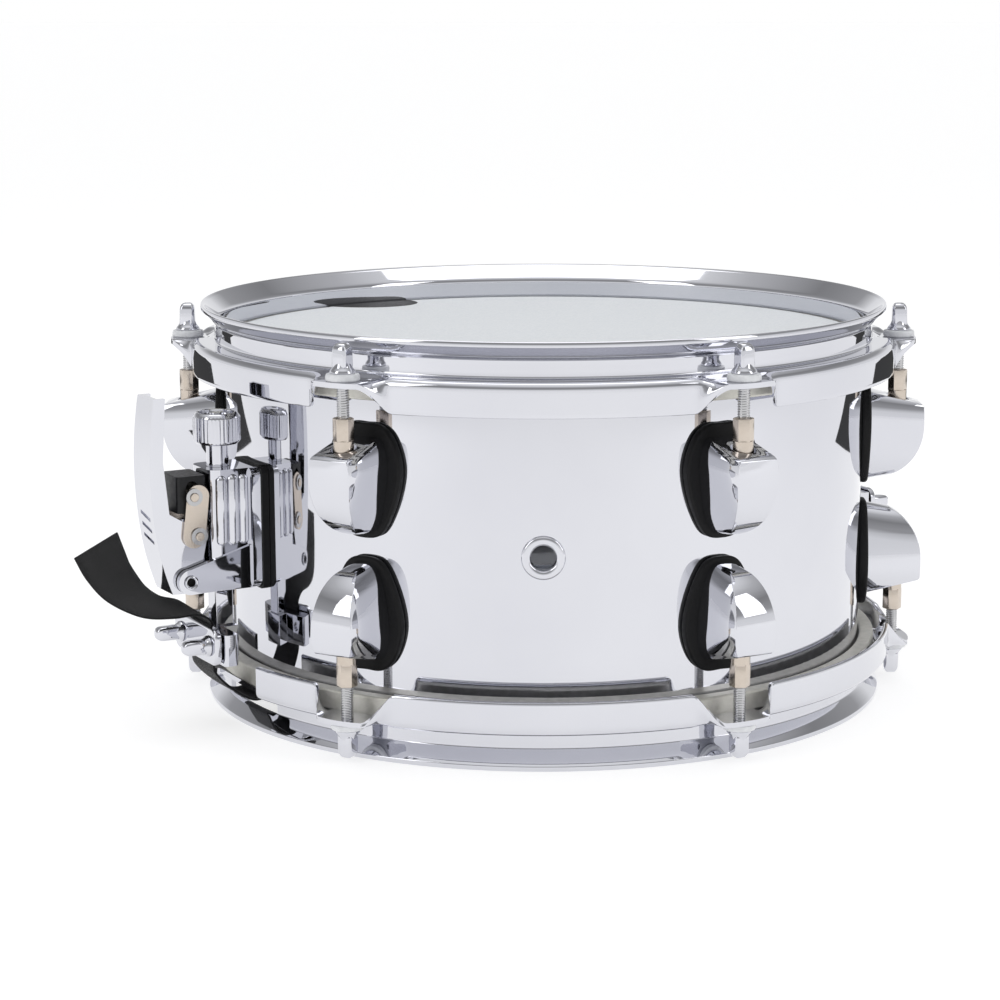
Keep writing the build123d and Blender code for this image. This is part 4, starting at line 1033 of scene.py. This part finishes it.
# %% Wind the strands
wires_low, wires_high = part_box("snare_wires")
strand_count = 20
strand_spacing = 2.05 * MM
coil_pitch = 2.0 * MM
coil_turns = 138
strand_z = (wires_low.z + wires_high.z) / 2
bpy.ops.object.select_all(action="DESELECT")
bpy.ops.mesh.primitive_circle_add(
    vertices=3, radius=0.2 * MM, fill_type="NOTHING", rotation=(math.radians(90), 0, 0))
strand = bpy.context.object
strand.name = "strand"
bpy.ops.object.transform_apply(rotation=True)
put(strand, Matrix.Translation((0.7 * MM, 0, -coil_turns * coil_pitch / 2)))
coil = strand.modifiers.new("coil", "SCREW")
coil.axis = "Z"
coil.angle = math.tau
coil.screw_offset = coil_pitch
coil.iterations = coil_turns
coil.steps = 7
coil.render_steps = 7
coil.use_merge_vertices = True
bpy.ops.object.modifier_apply(modifier="coil")
put(strand, Matrix.Rotation(math.radians(90), 4, "X"))
bpy.ops.object.mode_set(mode="EDIT")
settle(strand, dull_nickel, 60)
strands = []
for n in range(strand_count):
    across = (n - (strand_count - 1) / 2) * strand_spacing
    strands.append(twin(strand, f"strand_{n}", throw_off @ Matrix.Translation((across, 0, strand_z))))
bpy.data.objects.remove(strand)
stands_for(joined("snare_strands", strands), "snare_wires")

# %% [markdown]
# ## Straps
# The snares hang from black woven ribbon, 25 mm wide. Each ribbon is a strip drawn along its
# route and given a thickness. Its weave is a bump made from two crossed waves in the ribbon's own
# UV map, so it follows every bend.

# %% Weave the ribbon's finish
ribbon = bpy.data.materials.new("woven_ribbon")
ribbon.use_nodes = True
ribbon_tree = ribbon.node_tree
ribbon_shader = ribbon_tree.nodes["Principled BSDF"]
tune(ribbon_shader, {"Roughness": 0.85, "Sheen Weight": 0.25, "Specular IOR Level": 0.2})
ribbon_place = ribbon_tree.nodes.new("ShaderNodeUVMap")
ribbon_place.uv_map = "ribbon"
heights = []
for direction, size in (("X", 60.0), ("Y", 45.0)):
    wave = ribbon_tree.nodes.new("ShaderNodeTexWave")
    wave.bands_direction = direction
    tune(wave, {"Scale": size, "Distortion": 0.6})
    ribbon_tree.links.new(ribbon_place.outputs["UV"], wave.inputs["Vector"])
    heights.append(wave)
crossed = ribbon_tree.nodes.new("ShaderNodeMath")
crossed.operation = "MULTIPLY"
ribbon_tree.links.new(heights[0].outputs["Fac"], crossed.inputs[0])
ribbon_tree.links.new(heights[1].outputs["Fac"], crossed.inputs[1])
thread_colour = ribbon_tree.nodes.new("ShaderNodeValToRGB")
thread_colour.color_ramp.elements[0].color = (0.003, 0.003, 0.004, 1)
thread_colour.color_ramp.elements[1].color = (0.016, 0.016, 0.018, 1)
ribbon_tree.links.new(crossed.outputs["Value"], thread_colour.inputs["Fac"])
ribbon_tree.links.new(thread_colour.outputs["Color"], ribbon_shader.inputs["Base Color"])
weave = ribbon_tree.nodes.new("ShaderNodeBump")
tune(weave, {"Strength": 0.7, "Distance": 0.0004})
ribbon_tree.links.new(crossed.outputs["Value"], weave.inputs["Height"])
ribbon_tree.links.new(weave.outputs["Normal"], ribbon_shader.inputs["Normal"])


# %% Cut and lay a ribbon
def smooth_run(points, pieces=8):
    """An open smooth line through points."""
    ends = [2 * Vector(points[0]) - Vector(points[1])] + [Vector(p) for p in points]
    ends.append(2 * Vector(points[-1]) - Vector(points[-2]))
    run = []
    for before, a, b, after in zip(ends, ends[1:], ends[2:], ends[3:]):
        for step in range(pieces):
            run.append(between(before, a, b, after, step / pieces))
    return run + [ends[-2]]


ribbon_width = 25.0 * MM
ribbon_thick = 1.1 * MM


def ribbon_strip(name, route, angle, twists=None):
    """A woven strip along (distance, height, across) points, turned over by a twist at each point."""
    run = smooth_run([(r, z, x) for r, z, x in route])
    turns = smooth_run([(t, 0, 0) for t in (twists or [0] * len(route))])
    bpy.ops.object.select_all(action="DESELECT")
    bpy.ops.mesh.primitive_grid_add(x_subdivisions=8, y_subdivisions=len(run) - 1, size=1)
    piece = bpy.context.object
    piece.name = name
    along = [0.0]
    for a, b in zip(run, run[1:]):
        along.append(along[-1] + (b - a).length)
    uv = piece.data.uv_layers.new(name="ribbon")
    lanes = 9
    for index, vertex in enumerate(piece.data.vertices):
        row, lane = divmod(index, lanes)
        here = run[row]
        ahead = run[min(row + 1, len(run) - 1)] - run[max(row - 1, 0)]
        tangent = Vector((ahead.z, -ahead.x, ahead.y)).normalized()
        flat = Vector((1, 0, 0))
        flat = (flat - tangent * flat.dot(tangent)).normalized()
        side = Matrix.Rotation(math.radians(turns[row].x), 3, tangent) @ flat
        vertex.co = Vector((here.z, -here.x, here.y)) + side * (ribbon_width * (lane / (lanes - 1) - 0.5))
    for loop in piece.data.loops:
        row, lane = divmod(loop.vertex_index, lanes)
        uv.data[loop.index].uv = (lane / (lanes - 1) * ribbon_width * 40, along[row] * 40)
    while len(piece.data.uv_layers) > 1:
        extra = next(layer for layer in piece.data.uv_layers if layer.name != "ribbon")
        piece.data.uv_layers.remove(extra)
    piece.data.update()
    body = piece.modifiers.new("thickness", "SOLIDIFY")
    body.thickness = ribbon_thick
    body.offset = 0
    bpy.ops.object.modifier_apply(modifier="thickness")
    hem = piece.modifiers.new("hem", "BEVEL")
    hem.width = 0.35 * MM
    hem.segments = 2
    hem.angle_limit = math.radians(50)
    bpy.ops.object.modifier_apply(modifier="hem")
    bpy.ops.object.shade_smooth_by_angle(angle=math.radians(45))
    piece.data.materials.clear()
    piece.data.materials.append(ribbon)
    piece.select_set(False)
    put(piece, about_drum(angle))
    print(name, "length", round(along[-1] * 1000, 1), "mm")
    return piece, along[-1]


def mm(points):
    """Points given in millimetres, as metres."""
    return [tuple(v * MM for v in p) for p in points]


under_rim = [(132.5, 13.05, 0), (151, 13.0, 0), (160, 12.75, 0), (170.5, 19.5, 0), (177.6, 27.0, 0)]
snare_route = mm(under_rim + [(178.95, 32.3, 0)])
snare_ribbon, snare_length = ribbon_strip("snare_ribbon", snare_route, -60)
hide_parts("snare_strap")
tail_route = mm([
    (178.95, 32.9, 0), (178.95, 44, 0), (179.6, 51.5, 0), (186, 56.2, 0), (197, 58.0, 0),
    (208, 62.5, -1), (217.5, 71, -3), (223, 80.0, -4), (226.5, 88.5, -5),
])
tail_twists = [0, 0, 0, -4, -14, -34, -56, -70, -76]
tail_ribbon, tail_length = ribbon_strip("tail_ribbon", tail_route, -60, tail_twists)
stands_for(tail_ribbon, "strap_tail")
butt_route = mm(under_rim + [(178.95, 36, 0), (178.95, 60, 0), (178.95, 83.8, 0)])
butt_ribbon, butt_length = ribbon_strip("butt_ribbon", butt_route, 120)
stands_for(butt_ribbon, "butt_strap")

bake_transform(snare_ribbon)

# %% [markdown]
# ## The mark on the head
# Batter heads carry a small oval print near the rim. Here it is left as a plain dark oval with no
# lettering, a thin disc that lies on the film.

# %% Lay the oval
film_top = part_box("batter_head_film")[1].z
bpy.ops.object.select_all(action="DESELECT")
bpy.ops.mesh.primitive_cylinder_add(vertices=72, radius=1, depth=0.04 * MM, end_fill_type="NGON")
oval = bpy.context.object
oval.name = "plain_oval"
oval.scale = (27 * MM, 21 * MM, 1)
bpy.ops.object.transform_apply(scale=True)
bpy.ops.object.mode_set(mode="EDIT")
bpy.ops.mesh.select_all(action="SELECT")
bpy.ops.mesh.bevel(offset=0.015 * MM, segments=1)
bpy.ops.object.mode_set(mode="OBJECT")
put(oval, Matrix.Translation((-93 * MM, 122 * MM, film_top + 0.03 * MM)))
oval_ink = finish("printed_ink", (0.010, 0.011, 0.012), (0.02, 0.021, 0.022), (0.5, 0.65), 900, 0.3)
oval.data.materials.clear()
oval.data.materials.append(oval_ink)
oval.select_set(False)
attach(oval, "drum")
